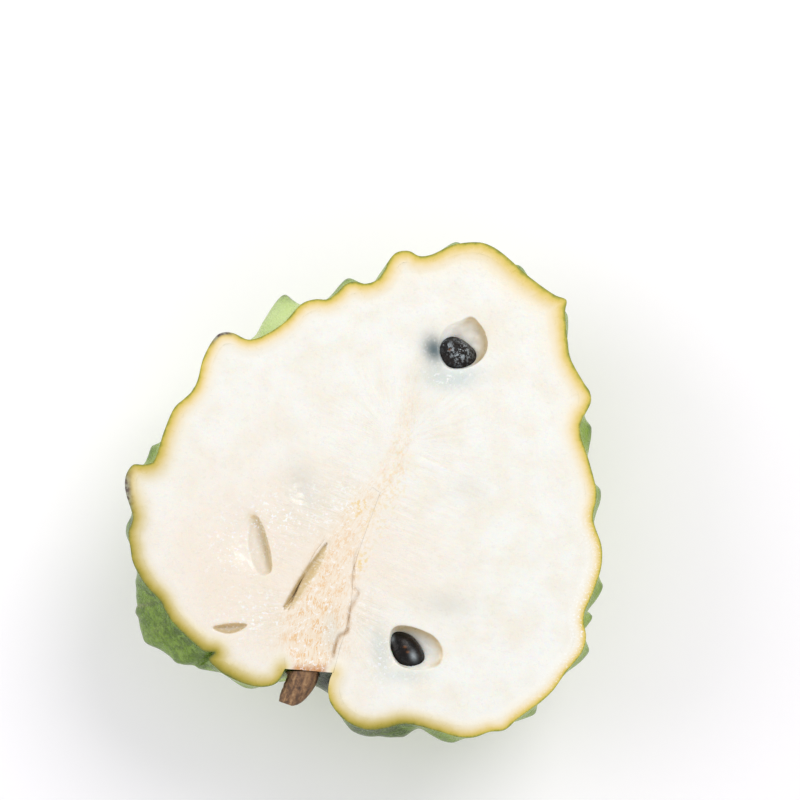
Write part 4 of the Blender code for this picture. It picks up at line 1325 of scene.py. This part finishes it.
def skin_material():
    """Waxy skin: pale yellow-green between the tubercles, greener on them."""
    s = Shader("skin_wax")
    where = s.attribute("solid", vector=True)
    mottle = s.noise(where, 0.4, 5.0, 0.65)
    clouds = s.span(s.noise(where, 0.075, 4.0, 0.6), 0.32, 0.68)
    base = s.mix(clouds, colour("#B4CC5C"), colour("#9DBB42"))
    base = s.tinted(base, "#D2E08C", "groove", 0.8)
    green = s.mix(s.span(mottle, 0.35, 0.7), colour("#86A630"), colour("#6B8C22"))
    uneven = s.math("ADD", "rise", s.times(s.math("SUBTRACT", mottle, 0.5), 0.9))
    base = s.mix(s.times(s.span(uneven, 0.12, 0.8), 0.85), base, green)
    paler = s.span(s.noise(where, 0.9, 4.0, 0.6), 0.55, 0.72)
    base = s.tinted(base, "#DDE8A8", paler, 0.3)
    freckles = s.span(s.cells(where, 0.42), 0.0, 0.16, 1.0, 0.0)
    base = s.tinted(base, "#6F6A30", freckles, 0.4)
    base = s.tinted(base, "#D8C9A4", "scar", 0.75)
    base = s.tinted(base, "#D6E6A6", "pale", 0.8)
    # Painted shade: a darker green near the cut, where the skin lies under the face's edge.
    streaky = s.span(s.noise(where, 0.5, 5.0, 0.7, 1.0), 0.4, 0.62)
    shade_green = s.mix(streaky, colour("#3A5216"), colour("#6C8A2C"))
    base = s.mix(s.times("painted_shade", 0.9), base, shade_green)
    # Painted shadow in the stem's notch, and a darker strip along the bottom edge.
    base = s.tinted(base, "#1E2710", "notch_shadow_and_dark_strip", 0.95)
    base = s.tinted(base, "#4F6A1E", s.span("tip", 0.1, 0.8), s.span(mottle, 0.36, 0.6), 0.7)
    browned = s.times(s.span("tip", 0.35, 0.9), s.span(mottle, 0.4, 0.62))
    base = s.tinted(base, "#5E4F3C", browned, s.span(s.noise(where, 0.16), 0.45, 0.58))
    rough = s.span(s.noise(where, 0.6), 0.3, 0.7, 0.2, 0.42)
    grain = s.math("ADD", s.noise(where, 0.9, 4.0), s.times(s.cells(where, 1.6), 0.5))
    grain = s.math("ADD", grain, s.times(mottle, 1.5))
    return s.finished(base, rough, s.bump(grain, 0.00045, 0.7), {
        "Specular IOR Level": 0.35, "Coat Weight": 0.12, "Coat Roughness": 0.1,
        "Subsurface Weight": 0.05, "Subsurface Radius": (0.6, 1.0, 0.2), "Subsurface Scale": 0.0015,
    })


def seed_material(name, wet):
    """A glossy near-black seed coat with painted bluish-white highlights. A wet one breaks these
    highlights up.
    """
    s = Shader(name)
    where = s.attribute("solid", vector=True)
    streaks = s.noise(where, 0.7)
    base = s.mix(s.span(streaks, 0.35, 0.7), colour("#0B0908"), colour("#1C120D"))
    base = s.tinted(base, "#9A5C26", "rust", 0.6)
    beaded = s.span(s.noise(where, 1.0, 5.0, 0.75), 0.5, 0.58)
    even = s.span(s.noise(where, 0.8, 2.0), 0.2, 0.5)
    # Painted highlight: bluish-white patches on the coat, in specks on a wet seed.
    base = s.tinted(base, "#C3CDD2", "seed_highlight", s.mix(wet, even, beaded), 0.85)
    rough = s.span(streaks, 0.3, 0.7, 0.16, 0.3)
    beads = s.math("ADD", s.noise(where, 1.4), s.times(s.noise(where, 2.6, 2.0), wet))
    return s.finished(base, rough, s.bump(beads, 0.00015 + 0.0003 * wet, 0.8), {
        "Specular IOR Level": 0.22, "Coat Weight": 0.06, "Coat Roughness": 0.05,
    })


def stem_material():
    """Dry bark in long dark and tan streaks."""
    s = Shader("stem_bark")
    streaks = s.noise(s.attribute("bark", vector=True), 0.9, 5.0, 0.65)
    flecks = s.noise(s.attribute("solid", vector=True), 1.3, 4.0, 0.7)
    bark = s.math("ADD", s.times(streaks, 0.6), s.times(flecks, 0.4))
    rough = s.span(bark, 0.3, 0.7, 0.55, 0.8)
    return s.finished(s.ramp(bark, BARK), rough, s.bump(bark, 0.0008, 1.0), {})


def floor_material():
    """A pale floor with very faint clouds."""
    s = Shader("floor")
    where = s.tree.nodes.new("ShaderNodeTexCoord").outputs["Object"]
    tone = s.noise(where, 3.0, 2.0)
    base = s.mix(tone, colour("#FFFCFF"), colour("#FCF9FC"))
    s.link(base, s.surface.inputs["Base Color"])
    s.link(s.span(tone, 0.3, 0.7, 0.5, 0.62), s.surface.inputs["Roughness"])
    return s.material


def photo_direction(right, up, height):
    """A direction given by the picture's right and up, in the part's own frame."""
    c, s = math.cos(OUTLINE_LEAN), math.sin(OUTLINE_LEAN)
    return Vector((right * c - up * s, right * s + up * c, height))


def put(name, data, spot, direction):
    """Put an object in the scene, facing along the direction."""
    thing = bpy.data.objects.new(name, data)
    thing.location = spot
    thing.rotation_euler = direction.to_track_quat("-Z", "Y").to_euler()
    bpy.context.scene.collection.objects.link(thing)
    return thing


def studio():
    """The floor, the camera, three soft lights and a pale backdrop."""
    floor_mesh = bpy.data.meshes.new("floor")
    floor_mesh.from_pydata([(-3, -3, 0), (3, -3, 0), (3, 3, 0), (-3, 3, 0)], [], [(0, 1, 2, 3)])
    floor_mesh.materials.append(floor_material())
    floor = bpy.data.objects.new("floor", floor_mesh)
    floor.location.z = FLOOR_LEVEL
    bpy.context.scene.collection.objects.link(floor)
    x, y = place(*CAMERA_AIM)
    target = Vector((x * MM, y * MM, REST_DEPTH * MM))
    away = photo_direction(0.0, -math.cos(CAMERA_ELEVATION), math.sin(CAMERA_ELEVATION))
    lens = bpy.data.cameras.new("camera")
    lens.lens = CAMERA_LENS
    spot = target + away * CAMERA_DISTANCE
    bpy.context.scene.camera = put("camera", lens, spot, -away)
    for name, offset, size, power, tint in LIGHTS:
        lamp = bpy.data.lights.new(name, "AREA")
        lamp.shape = "DISK"
        lamp.size = size
        lamp.energy = power
        lamp.color = tint
        towards = photo_direction(*offset)
        put(name, lamp, Vector(LIGHT_AIM) + towards, -towards)
    world = bpy.data.worlds.new("studio")
    world.use_nodes = True
    backdrop = world.node_tree.nodes["Background"]
    backdrop.inputs["Color"].default_value = BACKDROP_COLOUR
    backdrop.inputs["Strength"].default_value = BACKDROP_STRENGTH
    bpy.context.scene.world = world
    bpy.context.scene.view_settings.view_transform = "Standard"


def finish_skin(skin):
    """Store the skin's pale places, its painted shade near the cut and its painted shadow in the stem's
    notch, and give its cut edge its own material.
    """
    points = mesh_points(skin)
    places = sheet(points)
    upright = bell(points[:, 2], UPRIGHT_DEPTH)
    pale = patches(places, PALE_SKIN)
    mark(skin, "pale", pale * upright)
    # Painted shade near the cut, kept off the pale patch.
    painted_shade = patches(places, PAINTED_SHADE_PATCHES) + PAINTED_SHADE_ALL_ROUND
    mark(skin, "painted_shade", np.clip(painted_shade - pale, 0, 1) * upright)
    # Painted shadow in the stem's notch, and a darker strip along the bottom edge near the cut.
    notch_shadow_and_dark_strip = patches(places, STEM_NOTCH_SHADOW) * (points[:, 2] > -40.0)
    notch_shadow_and_dark_strip += patches(places, DARK_STRIP) * upright
    mark(skin, "notch_shadow_and_dark_strip", np.clip(notch_shadow_and_dark_strip, 0, 1))
    skin.data.materials.append(skin_material())
    skin.data.materials.append(face_material("skin_cut_edge", 0.4))
    level = -0.05 * MM + REST_DEPTH * MM
    for face in skin.data.polygons:
        if face.center.z > level:
            face.material_index = 1


def main():
    outline = peel_line()
    skin = make_skin()
    tidy_mesh(skin)
    flesh = make_flesh()
    tidy_mesh(flesh)
    core = core_shape("core_fine", CORE_GROWTH, 0.0, *CORE_MESH)
    stem = stem_shape("stem_fine", 0.0, *STEM_MESH, 1.0)
    upper = seed_shape("seed_upper_fine", UPPER_SEED, 0.0, *SEED_MESH)
    lower = seed_shape("seed_lower_fine", LOWER_SEED, 0.0, *SEED_MESH)
    finish_face(skin, outline, False)
    finish_face(flesh, outline, True)
    finish_face(core, outline, True)
    for thing in (skin, stem, upper, lower):
        mark_vector(thing, "solid", mesh_points(thing))
    finish_skin(skin)
    flesh.data.materials.append(face_material("flesh_moist", 0.45))
    core.data.materials.append(face_material("core_fibres", 0.35))
    stem.data.materials.append(stem_material())
    for seed in (upper, lower):
        places = sheet(mesh_points(seed))
        for name, rows in SEED_PATCHES.items():
            mark(seed, name, np.clip(patches(places, rows), 0, 1))
    upper.data.materials.append(seed_material("seed_coat_wet", 1.0))
    lower.data.materials.append(seed_material("seed_coat", 0.2))
    for thing, node, slot in (
        (skin, "skin", "skin"), (flesh, "flesh", "flesh"), (core, "core", "core"),
        (stem, "stem", "stem"), (upper, "seed_upper", "seed"), (lower, "seed_lower", "seed"),
    ):
        thing.data.set_sharp_from_angle(angle=SHARP_ANGLE)
        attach(thing, "root")
        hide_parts(node)
    studio()


main()
